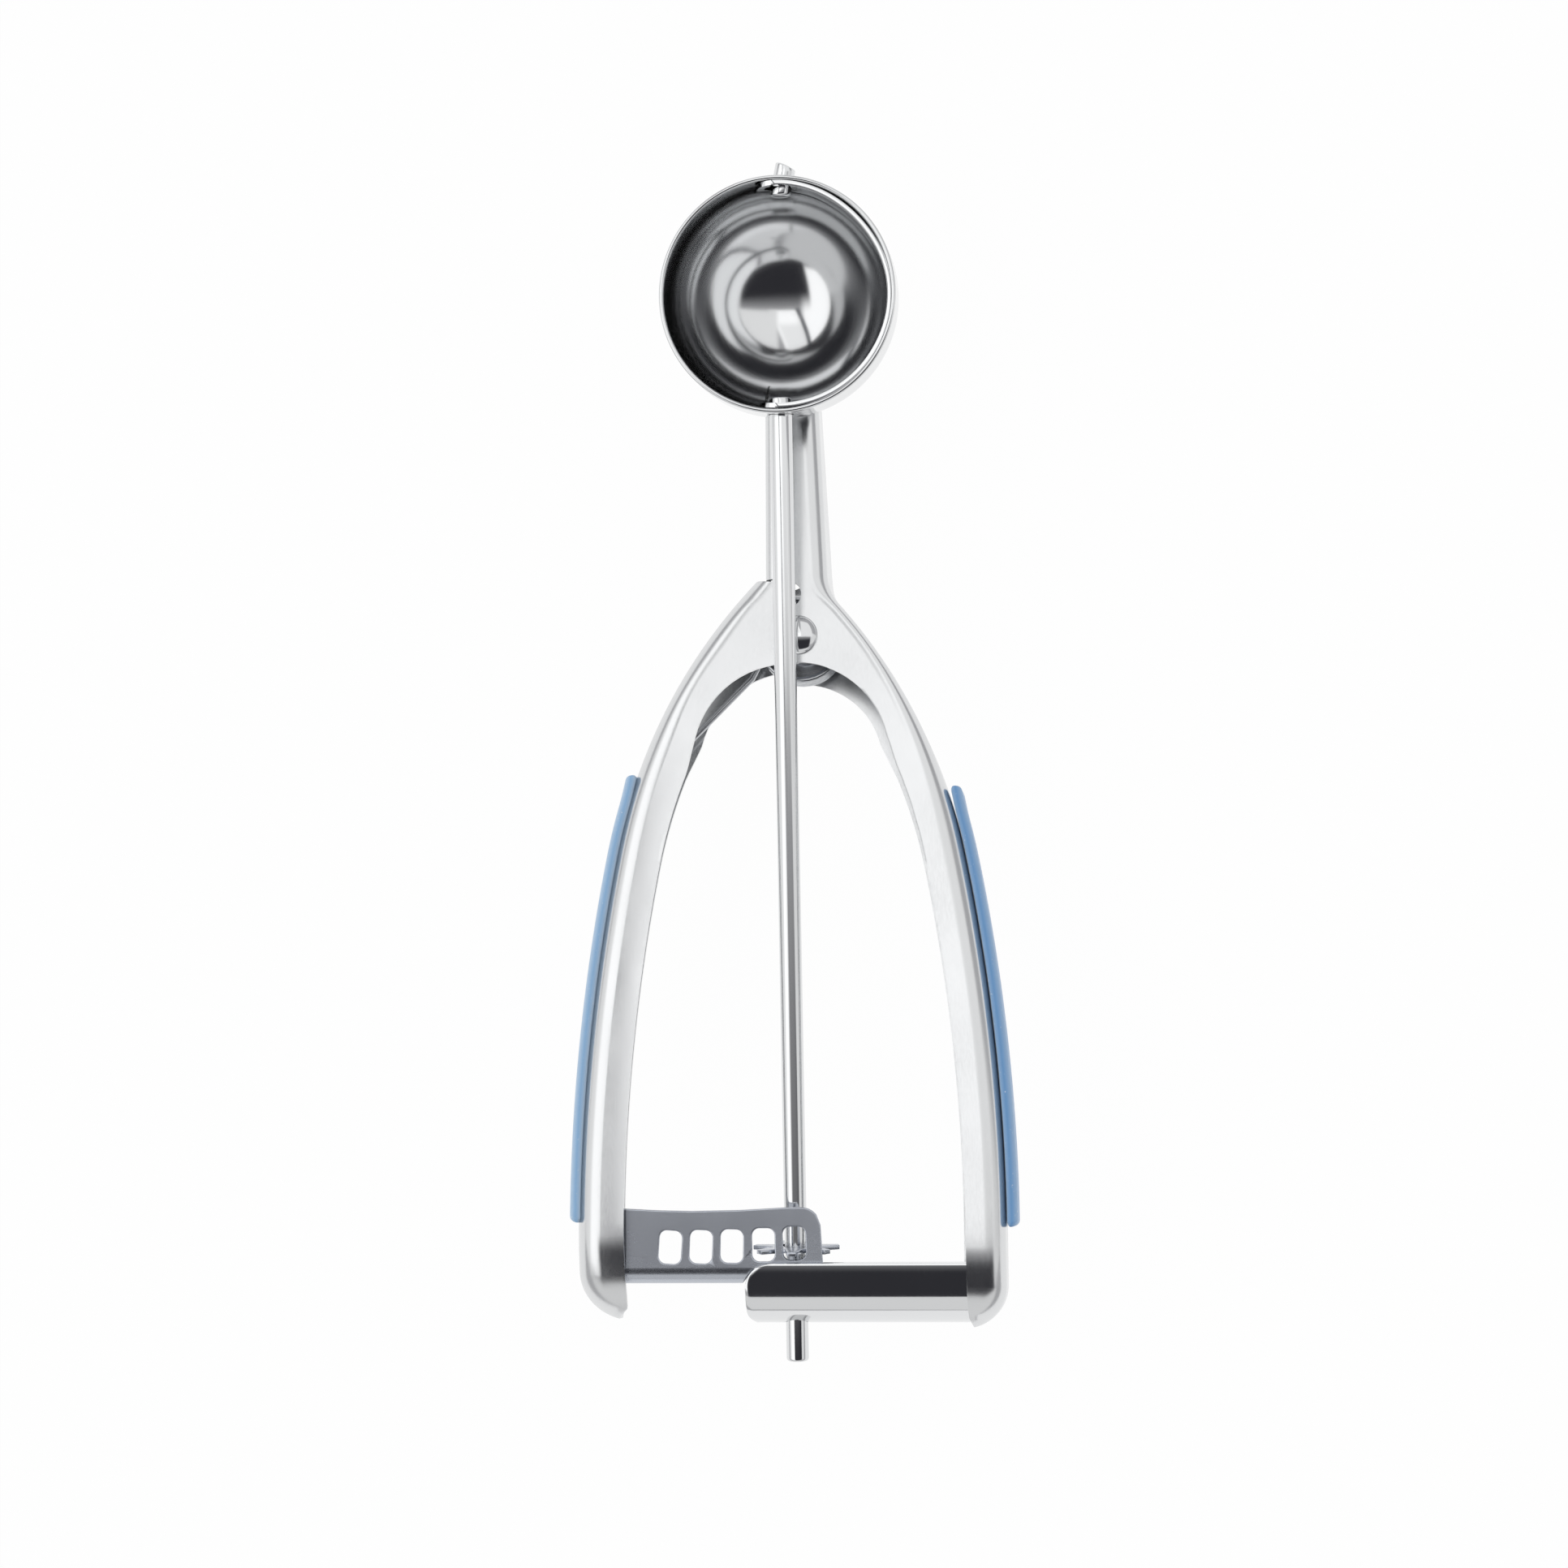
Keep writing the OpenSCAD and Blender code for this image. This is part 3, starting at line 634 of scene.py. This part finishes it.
fixed_rows = [[on_handle(*end_at_bowl(p)) for p in row] for row in fixed_rows]
side_rows = [[on_handle(*end_at_bowl(p)) for p in row] for row in side_rows]
fixed = formed("fixed_handle_stamping", fixed_rows)
neck_side = formed("neck_side", side_rows)
only(fixed)
neck_side.select_set(True)
bpy.ops.object.join()
bpy.ops.object.mode_set(mode="EDIT")
bpy.ops.mesh.select_all(action="SELECT")
bpy.ops.mesh.remove_doubles(threshold=0.01)
bpy.ops.mesh.normals_make_consistent(inside=False)
bpy.ops.object.mode_set(mode="OBJECT")
use(fixed, "SOLIDIFY", thickness=sheet, offset=-1, use_quality_normals=True)
use(fixed, "BEVEL", width=cut_round, segments=3, limit_method="ANGLE", angle_limit=cut_turn)
sized(fixed)


def handle_rod(x, y, radius, z_from, z_to):
    """A cutter that stands upright on the handles."""
    return rod("cut", on_handle(x, y, z_from), on_handle(x, y, z_to), radius)


rivet_r = 2.0
sight_r = 2.3
sight_y = 7.1
drill(fixed, handle_rod(pivot_x, 0, rivet_r, -depth - 2, 2),
      handle_rod(0, sight_y, sight_r, -4, 3))
smooth(fixed, 38)
use(fixed, "WEIGHTED_NORMAL", keep_sharp=True)
# Stamped and tumbled stainless steel: broad soft reflections, clouded a little, with faint
# lines along the arms, drawn coarser than the real 0.03 mm.
stamped = steel("stamped_stainless_steel", "#DDDEDF", (0.17, 0.27), 0.14, (1, 20, 1), 0.0004)
coat(fixed, stamped)
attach(fixed, "frame")
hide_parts("fixed_handle")


# ---- Moving handle ------------------------------------------------------------------------
# The left arm, stamped from the same sheet, with its cheeks between those of the yoke.
nest = 1.0
turning_gap = 0.07
left_end = 114.6
front_w = 7.5
back_w = 5.7
yoke_a = 2.8
yoke_b = 2.6
roll_from = -100.0
roll_r = 18.0
ear_top = 9.3
top_turn = degrees(asin((ear_top - shoulder_c.y) / shoulder_r))
ear_in = Vector((-pivot_x, 0))
moving_c = Vector((0.3, -21.0))
ear_edge = arc(ear_in, 4.6, 250, 90, 20) + [Vector((0, ear_top))]
moving_rows = arm_rows(left_end, depth - 2 * nest, front_w, back_w, roll_from, roll_r,
                       {"turn": top_turn, "foot": foot, "edge": yoke_a, "deep": yoke_b, "bead": 0,
                        "arch": arch_line(front_w, moving_c, 16.2) + ear_edge,
                        "back_arch": arch_line(back_w, moving_c, 16.7) + ear_edge})
moving_rows = [[on_handle(-x, y, z - nest) for x, y, z in row] for row in moving_rows]
# Turned over, this sheet gets its thickness outside the rows, 0.8 mm past the solid's wall.
moving = formed("moving_handle_stamping", moving_rows, flip=True)
use(moving, "SOLIDIFY", thickness=sheet, offset=-1, use_quality_normals=True)
use(moving, "BEVEL", width=cut_round, segments=3, limit_method="ANGLE", angle_limit=cut_turn)
sized(moving)
drill(moving, handle_rod(pivot_x, 0, rivet_r + turning_gap, -depth - 2, 2))
smooth(moving, 38)
use(moving, "WEIGHTED_NORMAL", keep_sharp=True)
coat(moving, stamped)
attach(moving, "lever")
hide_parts("moving_handle")


# ---- Crossbar -----------------------------------------------------------------------------
# A half-round bar of 0.7 mm sheet, welded inside the right arm's hook. The shaft's tail runs
# through a round hole in its lower side, and its free end is cut to a rounded shape.
bar_sheet = 0.7
bar_round = 0.16
bar_low = sheet + 0.1 - right_end
bar_top = bar_low + 10
bar_from = -8.0
bar_to = half_span - hook_r + 2.5
bar_front = -sheet - 0.05
bar_back = sheet - depth
roll_1 = 15.0
roll_start = -104.5
roll_turn = 27.2
roll_c1 = Vector((roll_start, bar_front - roll_1))
bend_1 = roll_c1 + roll_1 * Vector((-sin(radians(roll_turn)), cos(radians(roll_turn))))
roll_2 = (bend_1.x - bar_low) / (1 - sin(radians(roll_turn)))
roll_c2 = Vector((bar_low + roll_2, bend_1.y - roll_2 * cos(radians(roll_turn))))
back_r = 2.5
back_c = Vector((bar_low + back_r, bar_back + back_r))
top_angle = 90 + degrees(asin((roll_start - bar_top) / roll_1))
section = (arc(roll_c1, roll_1, top_angle, 90 + roll_turn, 14)
           + arc(roll_c2, roll_2, 90 + roll_turn, 180, 20)[1:]
           + arc(back_c, back_r, 180, 270, 8)
           + [Vector((mix(back_c.x, bar_top, i / 8), bar_back)) for i in range(1, 9)])
free_r = 4.4
hook_c = Vector((half_span - hook_r, hook_r - right_end))
bar_rows = []
for y, z in section:
    below = bar_top - y
    corner = free_r - sqrt(free_r ** 2 - max(0, free_r - below) ** 2)
    tuck = 1.3 * ease((-z - 4) / 6) * ease((below - 7) / 3)
    start = bar_from + corner + tuck
    half_chord = sqrt(max(0, (hook_r - sheet - 0.1) ** 2 - max(0, hook_c.y - y) ** 2))
    stop = min(bar_to, hook_c.x + half_chord)
    bar_rows.append([on_handle(mix(stop, start, i / 40), y, z) for i in range(41)])
bar = formed("crossbar_sheet", bar_rows)
use(bar, "SOLIDIFY", thickness=bar_sheet, offset=-1, use_quality_normals=True)
use(bar, "BEVEL", width=bar_round, segments=2, limit_method="ANGLE", angle_limit=cut_turn)
sized(bar)
drill(bar, rod("cut", (0, shaft_low.y, shaft_z), (0, shaft_low.y + 14, shaft_z), 2.4))
smooth(bar, 38)
use(bar, "WEIGHTED_NORMAL", keep_sharp=True)
coat(bar, polished)
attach(bar, "frame")
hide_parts("crossbar")


# ---- Rack plate ---------------------------------------------------------------------------
# A plate of satin stainless steel welded under the left arm's front cheek. Its five windows are
# one pinion tooth apart, and its lower edge is rolled to a stiffening lip.
rack_t = 0.85
rack_z = -(nest + sheet)
pinion_y = 103.6
window_lift = 1.4
rack_mid = pinion_y / cos(tilt) - window_lift
rack_left = -(half_span - 3.5)
rack_right = 4.6
rack_high = 6.4
rack_flat = 3.5
rack_sag = 0.55
rack_flare = 0.05
rack_slope = 0.084
lip_r = 2.7
rack_corner = 3.0
rack_rows = []
rack_steps = 60
for i in range(23):
    row = []
    for j in range(rack_steps + 1):
        u = j / rack_steps
        x = mix(rack_left, rack_right, u)
        sag = rack_sag * sin(pi * min(1, max(0, (u - 0.05) / 0.8)))
        right = max(0, x - (rack_right - rack_corner))
        sag += rack_corner - sqrt(max(0, rack_corner ** 2 - right ** 2))
        top = rack_high - sag
        if i <= 12:
            y, z = mix(top, -rack_flat, i / 12), 0
        else:
            a = pi / 2 * (i - 12) / 10
            y, z = -rack_flat - lip_r * sin(a), -lip_r * (1 - cos(a))
        z += rack_z - rack_slope * (rack_high - y)
        x += rack_flare * (rack_high - y) * u
        row.append(on_handle(x, y - rack_mid, z))
    rack_rows.append(row)
rack = formed("rack_strip", rack_rows, flip=True)
use(rack, "SOLIDIFY", thickness=rack_t, offset=-1, use_quality_normals=True)
sized(rack)


def block(low, high, turn=0, about=(0, 0), rounding=0.0):
    """A cutter with the given corners on the handles, in mm, turned about a point there."""
    low, high = Vector(low), Vector(high)
    bpy.ops.object.select_all(action="DESELECT")
    bpy.ops.mesh.primitive_cube_add(size=1)
    piece = bpy.context.active_object
    piece.data.transform(Matrix.Translation((low + high) / 2)
                         @ Matrix.Diagonal((*(high - low), 1)))
    if rounding:
        piece.data.attributes.new("bevel_weight_edge", "FLOAT", "EDGE")
        weights = piece.data.attributes["bevel_weight_edge"].data
        for edge in piece.data.edges:
            a, b = [piece.data.vertices[v].co for v in edge.vertices]
            weights[edge.index].value = 1.0 if abs(a.z - b.z) > 0.1 else 0.0
        use(piece, "BEVEL", width=rounding, segments=6, limit_method="WEIGHT")
    centre = Vector((*about, 0))
    piece.data.transform(Matrix.Translation(centre) @ Matrix.Rotation(turn, 4, "Z")
                         @ Matrix.Translation(-centre))
    piece.data.transform(Matrix.Scale(MM, 4) @ Matrix.Translation((0, pivot.y, pivot.z))
                         @ Matrix.Rotation(-tilt, 4, "X"))
    return piece


rack_round = 0.22
window_w = 3.8
window_h = 5.5
window_r = 1.2
windows = ((0.29, -102.55), (-4.89, -102.8), (-10.22, -103.0), (-15.42, -103.1), (-20.63, -103.15))
notch_to = -29.3
notch_h = 3.4
rack_low = -rack_mid - rack_flat
slant_at = (-6.2, rack_low + 0.1)
cutters = [block((slant_at[0], rack_low - 9, rack_z - 6), (rack_right + 4, rack_low - 0.35, 2)),
           block((slant_at[0], rack_low - 9, rack_z - 6), (rack_right, rack_low + 0.1, 2),
                 radians(-42), slant_at),
           block((rack_left - 2, rack_low - 9, rack_z - 6), (notch_to, rack_low + notch_h, 2))]
for i, (x, y) in enumerate(map(Vector, windows)):
    cutters.append(block((x - window_w / 2, y - window_h / 2, rack_z - 3),
                         (x + window_w / 2, y + window_h / 2, rack_z + 3),
                         -radians(1.5 * i - 1.5), (x, y), window_r))
drill(rack, *cutters)
only(rack)
bpy.ops.object.mode_set(mode="EDIT")
bpy.ops.mesh.select_all(action="SELECT")
bpy.ops.mesh.remove_doubles(threshold=0.00001)
bpy.ops.mesh.dissolve_limited(angle_limit=radians(1.5))
bpy.ops.mesh.select_all(action="SELECT")
bpy.ops.mesh.remove_doubles(threshold=0.00014)
bpy.ops.object.mode_set(mode="OBJECT")
use(rack, "BEVEL", width=rack_round * MM, segments=3, limit_method="ANGLE",
    angle_limit=radians(50), use_clamp_overlap=False)
smooth(rack, 38)
use(rack, "WEIGHTED_NORMAL", keep_sharp=True)
coat(rack, satin)
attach(rack, "lever")
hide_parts("rack_plate")


# ---- Rivet and spacer ---------------------------------------------------------------------
# A domed stainless rivet holds the two handles together and is their pivot. The spacer tube
# round it keeps the inner cheeks apart.
head_d = 6.6
head_h = 2.2
tail_h = 1.2
head_skirt = 0.7
tail_skirt = 0.2
head_edge = 0.3


def dome(radius, height, skirt, edge, steps=16):
    """Profile of a domed head from its flat seat's rim to its top, over an upright skirt."""
    rise = height - skirt - edge
    ball = ((radius - edge * 0.4) ** 2 + rise ** 2) / (2 * rise)
    open_angle = degrees(asin((radius - edge * 0.4) / ball))
    cap = arc((0, height - ball), ball, 90 - open_angle, 90, steps)
    return ([Vector((radius, 0)), Vector((radius, skirt))]
            + arc((radius - edge * 0.6, skirt), edge * 0.6, 20, 50, 2) + cap)


head = dome(head_d / 2, head_h, head_skirt, head_edge)
tail = dome(head_d / 2, tail_h, tail_skirt, head_edge)
profile = ([Vector((0, -depth - p.y)) if p.x < 1e-4 else Vector((p.x, -depth - p.y))
            for p in reversed(tail)]
           + [Vector((rivet_r, -depth)), Vector((rivet_r, 0))] + head)
rivet = spun("pivot_rivet_domed", profile, on_handle(pivot_x, 0, 0), front_normal, steps=64)
smooth(rivet, 35)
coat(rivet, polished)
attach(rivet, "frame")
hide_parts("pivot_rivet")

end_play = 0.15
spacer_from = nest + sheet + end_play - depth
spacer_to = -(nest + sheet + end_play)
wall_in = rivet_r + 0.03
wall_out = 3.2
chamfer = 0.2
ring = [(wall_in, spacer_from), (wall_out - chamfer, spacer_from),
        (wall_out, spacer_from + chamfer), (wall_out, spacer_to - chamfer),
        (wall_out - chamfer, spacer_to), (wall_in, spacer_to), (wall_in, spacer_from)]
spacer = spun("pivot_spacer_tube", ring, on_handle(pivot_x, 0, 0), front_normal, steps=48)
smooth(spacer, 35)
coat(spacer, satin)
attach(spacer, "frame")
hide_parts("pivot_spacer")


# ---- Return spring ------------------------------------------------------------------------
# One drawn spring wire: four and a half turns round the rivet, and two straight legs that
# push the arms apart from inside.
wire_r = 0.55
wire_gap = 0.15
coil_r = 7.0
coil_turns = 4.5
coil_step = 2 * wire_r + wire_gap
coil_half = coil_turns * coil_step / 2
coil_z = -depth / 2
leg_drop = 22.0
leg_x = shoulder_c.x + sqrt((shoulder_r - sheet - wire_r - 0.1) ** 2
                            - (leg_drop + shoulder_c.y) ** 2)


def leg(side, z):
    """Points of a leg from the arm up to the coil."""
    bends = [(2.1, 5.8), (0.4, 2.6), (0.0, 0.5)]
    return ([Vector((side * leg_x, -leg_drop, z))]
            + [Vector((pivot_x + side * (coil_r + out), -drop, z)) for out, drop in bends])


coil = []
coil_count = 150
for i in range(coil_count + 1):
    a = 2 * pi * coil_turns * i / coil_count
    coil.append(Vector((pivot_x + coil_r * cos(a), coil_r * sin(a),
                        coil_z + coil_half - a / (2 * pi) * coil_step)))
route = leg(1, coil_z + coil_half) + coil + list(reversed(leg(-1, coil_z - coil_half)))
curve = bpy.data.curves.new("spring_wire", "CURVE")
curve.dimensions = "3D"
curve.bevel_depth = wire_r * MM
curve.bevel_resolution = 4
curve.use_fill_caps = True
spline = curve.splines.new("POLY")
spline.points.add(len(route) - 1)
for point, place in zip(spline.points, route):
    point.co = (*(on_handle(*place) * MM), 1)
spring = bpy.data.objects.new("spring_wire", curve)
bpy.context.collection.objects.link(spring)
only(spring)
bpy.ops.object.convert(target="MESH")
spring = bpy.context.active_object
smooth(spring, 60)
# Drawn spring wire: greyer and a little duller than the sheet.
wire = steel("drawn_spring_wire", "#C4C6C9", (0.16, 0.30), 0.3, (1, 1, 1), 0.001)
coat(spring, wire)
on_handle(8, 0, coil_z) * MM
on_handle(-5, 0, coil_z) * MM
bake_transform(spring)
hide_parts("return_spring", "spring_left_leg")


# ---- Grips --------------------------------------------------------------------------------
# Two strips of soft blue vinyl glued to the outsides of the arms, moulded with round ends. The
# upper end of each stands off the steel a little.
grip_t = 1.8
grip_w = 10.6
grip_r = 0.95
grip_film = 0.2
grip_lift = 0.35
lift_over = 7


def grip(name, side, top, low):
    """A strip along the outside of the arm on that side, from its top to its low end."""
    low_turn = degrees(asin((arm_drop - low) / long_r))
    top_turn = degrees(asin((-top - shoulder_c.y) / (shoulder_r + grip_t)))
    places = (stations(long_c, long_r, low_turn, long_turn, 60)
              + stations(shoulder_c, shoulder_r, long_turn, top_turn, 24)[1:])
    z_mid = -depth / 2
    lengths = [0]
    for (a, _), (b, _) in zip(places, places[1:]):
        lengths.append(lengths[-1] + (b - a).length)
    total = lengths[-1]
    outline = []
    for cx, cz, start in ((grip_t - grip_r, -grip_w / 2 + grip_r, -90),
                          (grip_t - grip_r, grip_w / 2 - grip_r, 0)):
        outline += [(p.x, p.y) for p in arc((cx, cz), grip_r, start, start + 90, 6)]
    soft = 0.25
    outline += [(soft, grip_w / 2), (0, grip_w / 2 - soft)]
    outline += [(0, mix(grip_w / 2 - soft, soft - grip_w / 2, k / 4)) for k in range(1, 4)]
    outline += [(0, soft - grip_w / 2), (soft, -grip_w / 2)]
    outline.append(outline[0])
    rows = []
    end_r = 1.1

    def row_at(edge, out, size, lift):
        return [on_handle(side * (edge.x + out.x * (grip_film + lift + x * size)),
                          edge.y + out.y * (grip_film + lift + x * size),
                          z_mid + z * (0.86 + 0.14 * size)) for x, z in outline]

    def place_at(length):
        for (a, b), (here, there) in zip(zip(places, places[1:]), zip(lengths, lengths[1:])):
            if length <= there:
                t = (length - here) / (there - here)
                return a[0].lerp(b[0], t), a[1].lerp(b[1], t).normalized()
        return places[-1]

    marks = [end_r * (1 - cos(radians(a))) for a in range(0, 91, 15)]
    marks += [end_r + (total - 2 * end_r) * i / 70 for i in range(1, 70)]
    marks += [total - m for m in reversed(marks[:7])]
    for mark in marks:
        near_end = min(mark, total - mark)
        size = sqrt(max(0.0009, 1 - (1 - min(1, near_end / end_r)) ** 2))
        lift = (grip_lift * ease((mark - total + lift_over) / lift_over) ** 2
                + (1 - size) * grip_t * 0.3)
        edge, out = place_at(mark)
        rows.append(row_at(edge, out, size, lift))
    piece = formed(name, rows)
    only(piece)
    bpy.ops.object.mode_set(mode="EDIT")
    bpy.ops.mesh.select_all(action="DESELECT")
    bpy.ops.mesh.select_non_manifold(extend=False)
    bpy.ops.mesh.edge_face_add()
    bpy.ops.mesh.select_all(action="SELECT")
    bpy.ops.mesh.normals_make_consistent(inside=False)
    bpy.ops.object.mode_set(mode="OBJECT")
    sized(piece)
    smooth(piece, 50)
    return piece


def vinyl(name, outer, inner):
    """Soft moulded vinyl: a matt sheen, with a few pale specks, and painted light and shade: the
    blue is inner where the surface faces up or down and the lighter outer where it faces
    sideways, standing in for the light on the grip's outer rounding and the shade beside the
    arm. The specks are really 0.1 mm, and are drawn 0.45 mm apart so that they show."""
    material, tree, output = new_material(name)
    place = add(tree, "TexCoord").outputs["Object"]
    clouds = add(tree, "TexNoise", {"Vector": place}, Scale=1 / (9 * MM), Detail=4.0)
    specks = add(tree, "TexNoise", {"Vector": place}, Scale=1 / (0.45 * MM), Detail=2.0)
    spot = ramp(tree, specks.outputs["Fac"], [(0.70, 0), (0.76, 1)])
    # Painted light and shade: the blue follows how far the surface faces sideways, lighter on the
    # grip's outer rounding and darker beside the arm, in place of the studio light and the shade
    # there.
    facing = add(tree, "SeparateXYZ", {"Vector": add(tree, "NewGeometry").outputs["Normal"]})
    sideways = add(tree, "Math", {0: facing.outputs["X"]}, operation="ABSOLUTE")
    soft = ramp(tree, sideways.outputs[0], [(0.05, 0), (0.75, 1)])
    base = add(tree, "MixRGB", {"Fac": soft}, Color1=linear(inner), Color2=linear(outer))
    painted_shade_blue_and_specks = add(tree, "MixRGB", {"Fac": spot, "Color1": base.outputs[0]},
                Color2=linear("#E6EEF6"))
    grain = add(tree, "TexNoise", {"Vector": place}, Scale=1 / (0.35 * MM), Detail=3.0)
    bump = add(tree, "Bump", {"Height": grain.outputs["Fac"]}, Strength=1.0,
               Distance=0.004 * MM)
    rough = add(tree, "MapRange", {"Value": clouds.outputs["Fac"]}, To_Min=0.38, To_Max=0.52)
    shade = add(tree, "BsdfPrincipled", {"Base Color": painted_shade_blue_and_specks.outputs[0],
                                         "Roughness": rough.outputs[0],
                                         "Normal": bump.outputs[0]}, IOR=1.49)
    tree.links.new(shade.outputs[0], output.inputs["Surface"])
    return material


# Painted light and shade: the left grip's blues are lighter than the right grip's, standing in for
# the light from the left, and each pair runs from the painted lit end to the painted shaded end of
# that grip.
for name, side, top, low, body, node, lit_blue, shaded_blue in (
        ("left_grip_strip", -1, 23.0, 99.0, "lever", "left_grip", "#C2DAF2", "#96BFE6"),
        ("right_grip_strip", 1, 25.8, 100.0, "frame", "right_grip", "#A2C4E8", "#70A2D5")):
    strip = grip(name, side, top, low)
    coat(strip, vinyl("vinyl_painted_shade_" + node, lit_blue, shaded_blue))
    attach(strip, body)
    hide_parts(node)


# ---- Studio -------------------------------------------------------------------------------
# A wide white floor under a grey sky. White cards stand to the left, to the right and beyond
# the bowl, and a paler one behind the handles' ends. A dark card and a thin dark strip hang
# overhead, where the camera looks down nearly upright.
bpy.ops.object.select_all(action="DESELECT")
bpy.ops.mesh.primitive_plane_add(size=8)
floor = bpy.context.active_object
floor.name = "floor"
material, tree, output = new_material("white_floor")
rays = add(tree, "LightPath")
straight = add(tree, "Math", {0: rays.outputs["Is Camera Ray"],
                              1: rays.outputs["Is Glossy Ray"]}, operation="MAXIMUM")
seen = add(tree, "Math", {0: straight.outputs[0], 1: rays.outputs["Is Transmission Ray"]},
           operation="MAXIMUM")
paper = add(tree, "BsdfDiffuse", Color=linear("#F7F7F7"))
white = add(tree, "Emission", Color=(1, 1, 1, 1), Strength=1.0)
floor_share = 0.975
share = add(tree, "Math", {0: seen.outputs[0]}, operation="MULTIPLY")
share.inputs[1].default_value = floor_share
both = add(tree, "MixShader", {0: share.outputs[0], 1: paper.outputs[0], 2: white.outputs[0]})
tree.links.new(both.outputs[0], output.inputs["Surface"])
floor.data.materials.append(material)

world = bpy.data.worlds.new("studio")
bpy.context.scene.world = world
world.use_nodes = True
tree = world.node_tree
tree.nodes.clear()
rays = add(tree, "LightPath")
seen = add(tree, "Math", {0: rays.outputs["Is Camera Ray"],
                          1: rays.outputs["Is Transmission Ray"]}, operation="MAXIMUM")
way = add(tree, "SeparateXYZ", {"Vector": add(tree, "TexCoord").outputs["Generated"]})
to_right = add(tree, "Math", {0: way.outputs["X"], 1: way.outputs["Z"]}, operation="ARCTAN2")
to_far = add(tree, "Math", {0: way.outputs["Y"], 1: way.outputs["Z"]}, operation="ARCTAN2")
card_slant = 0.44
slanted = add(tree, "Math", {0: to_far.outputs[0], 2: to_right.outputs[0]},
              operation="MULTIPLY_ADD")
slanted.inputs[1].default_value = card_slant
glow = add(tree, "RGB").outputs[0]
glow.default_value = (0.46, 0.46, 0.47, 1)
# Each card's brightness and tint, the way its left and right edges are measured, and its left,
# right, near and far edges, each as its place and the width it fades over, in degrees.
for level, tint, side, left, right, near, far in (
        (0.95, (1, 1, 1), to_right, (-125, 10), (-57, 10), (-50, 10), (60, 10)),
        (0.84, (1, 1, 1), to_right, (50, 8), (88, 8), (-42, 8), (24, 8)),
        (1.36, (1, 1, 1), to_right, (-60, 8), (-16, 8), (-42, 8), (55, 8)),
        (1.36, (1, 1, 1), slanted, (-9.7, 3), (20, 3), (2, 3), (69, 3)),
        (0.98, (1, 1, 1), to_right, (10, 6), (59, 6), (2, 6), (69, 6)),
        (1.10, (1, 1, 1), slanted, (-9.7, 8), (17, 8), (17, 8), (69, 8)),
        (0.80, (1, 1, 1), to_right, (-62, 10), (62, 10), (-100, 4), (-51, 1.5)),
        (0.034, (0.96, 0.96, 1.12), to_right, (-25, 4), (49, 5), (-51, 1.5), (-5, 24)),
        (0.10, (0.95, 0.97, 1.10), slanted, (-12.2, 1.6), (-7.6, 1.6), (1, 1.6), (60, 1.6))):
    mask = None
    for angle, low, high in ((side, left, right), (to_far, near, far)):
        for (edge, soft), inside_way in ((low, 1), (high, -1)):
            bounds = [radians(edge - inside_way * soft / 2), radians(edge + inside_way * soft / 2)]
            step = add(tree, "MapRange", {"Value": angle.outputs[0]},
                       interpolation_type="SMOOTHSTEP", From_Min=bounds[0], From_Max=bounds[1])
            mask = step if mask is None else add(
                tree, "Math", {0: mask.outputs[0], 1: step.outputs[0]}, operation="MULTIPLY")
    glow = add(tree, "MixRGB", {"Fac": mask.outputs[0], "Color1": glow},
               Color2=(*[level * t for t in tint], 1)).outputs[0]
sky = add(tree, "Background", {"Color": glow}, Strength=1.0)
plain = add(tree, "Background", Color=(1, 1, 1, 1), Strength=1.0)
both = add(tree, "MixShader", {0: seen.outputs[0], 1: sky.outputs[0], 2: plain.outputs[0]})
output = tree.nodes.new("ShaderNodeOutputWorld")
tree.links.new(both.outputs[0], output.inputs["Surface"])

target = Vector((-0.6, -4.0, 23.5))
lean = radians(6.0)
roll = radians(1.03)
distance = 550.0
view = Vector((sin(lean), 0, cos(lean)))
side_way = Vector((cos(lean), 0, -sin(lean)))
right_way = cos(roll) * side_way - sin(roll) * Vector((0, 1, 0))
up_way = sin(roll) * side_way + cos(roll) * Vector((0, 1, 0))
camera_data = bpy.data.cameras.new("camera")
camera_data.lens = 74.81
camera_data.sensor_width = 36.0
camera_data.clip_start = 0.01
camera = bpy.data.objects.new("camera", camera_data)
bpy.context.collection.objects.link(camera)
turn = Matrix((right_way, up_way, view)).transposed().to_4x4()
camera.matrix_world = Matrix.Translation((target + distance * view) * MM) @ turn
bpy.context.scene.camera = camera
bpy.context.scene.view_settings.view_transform = "Standard"
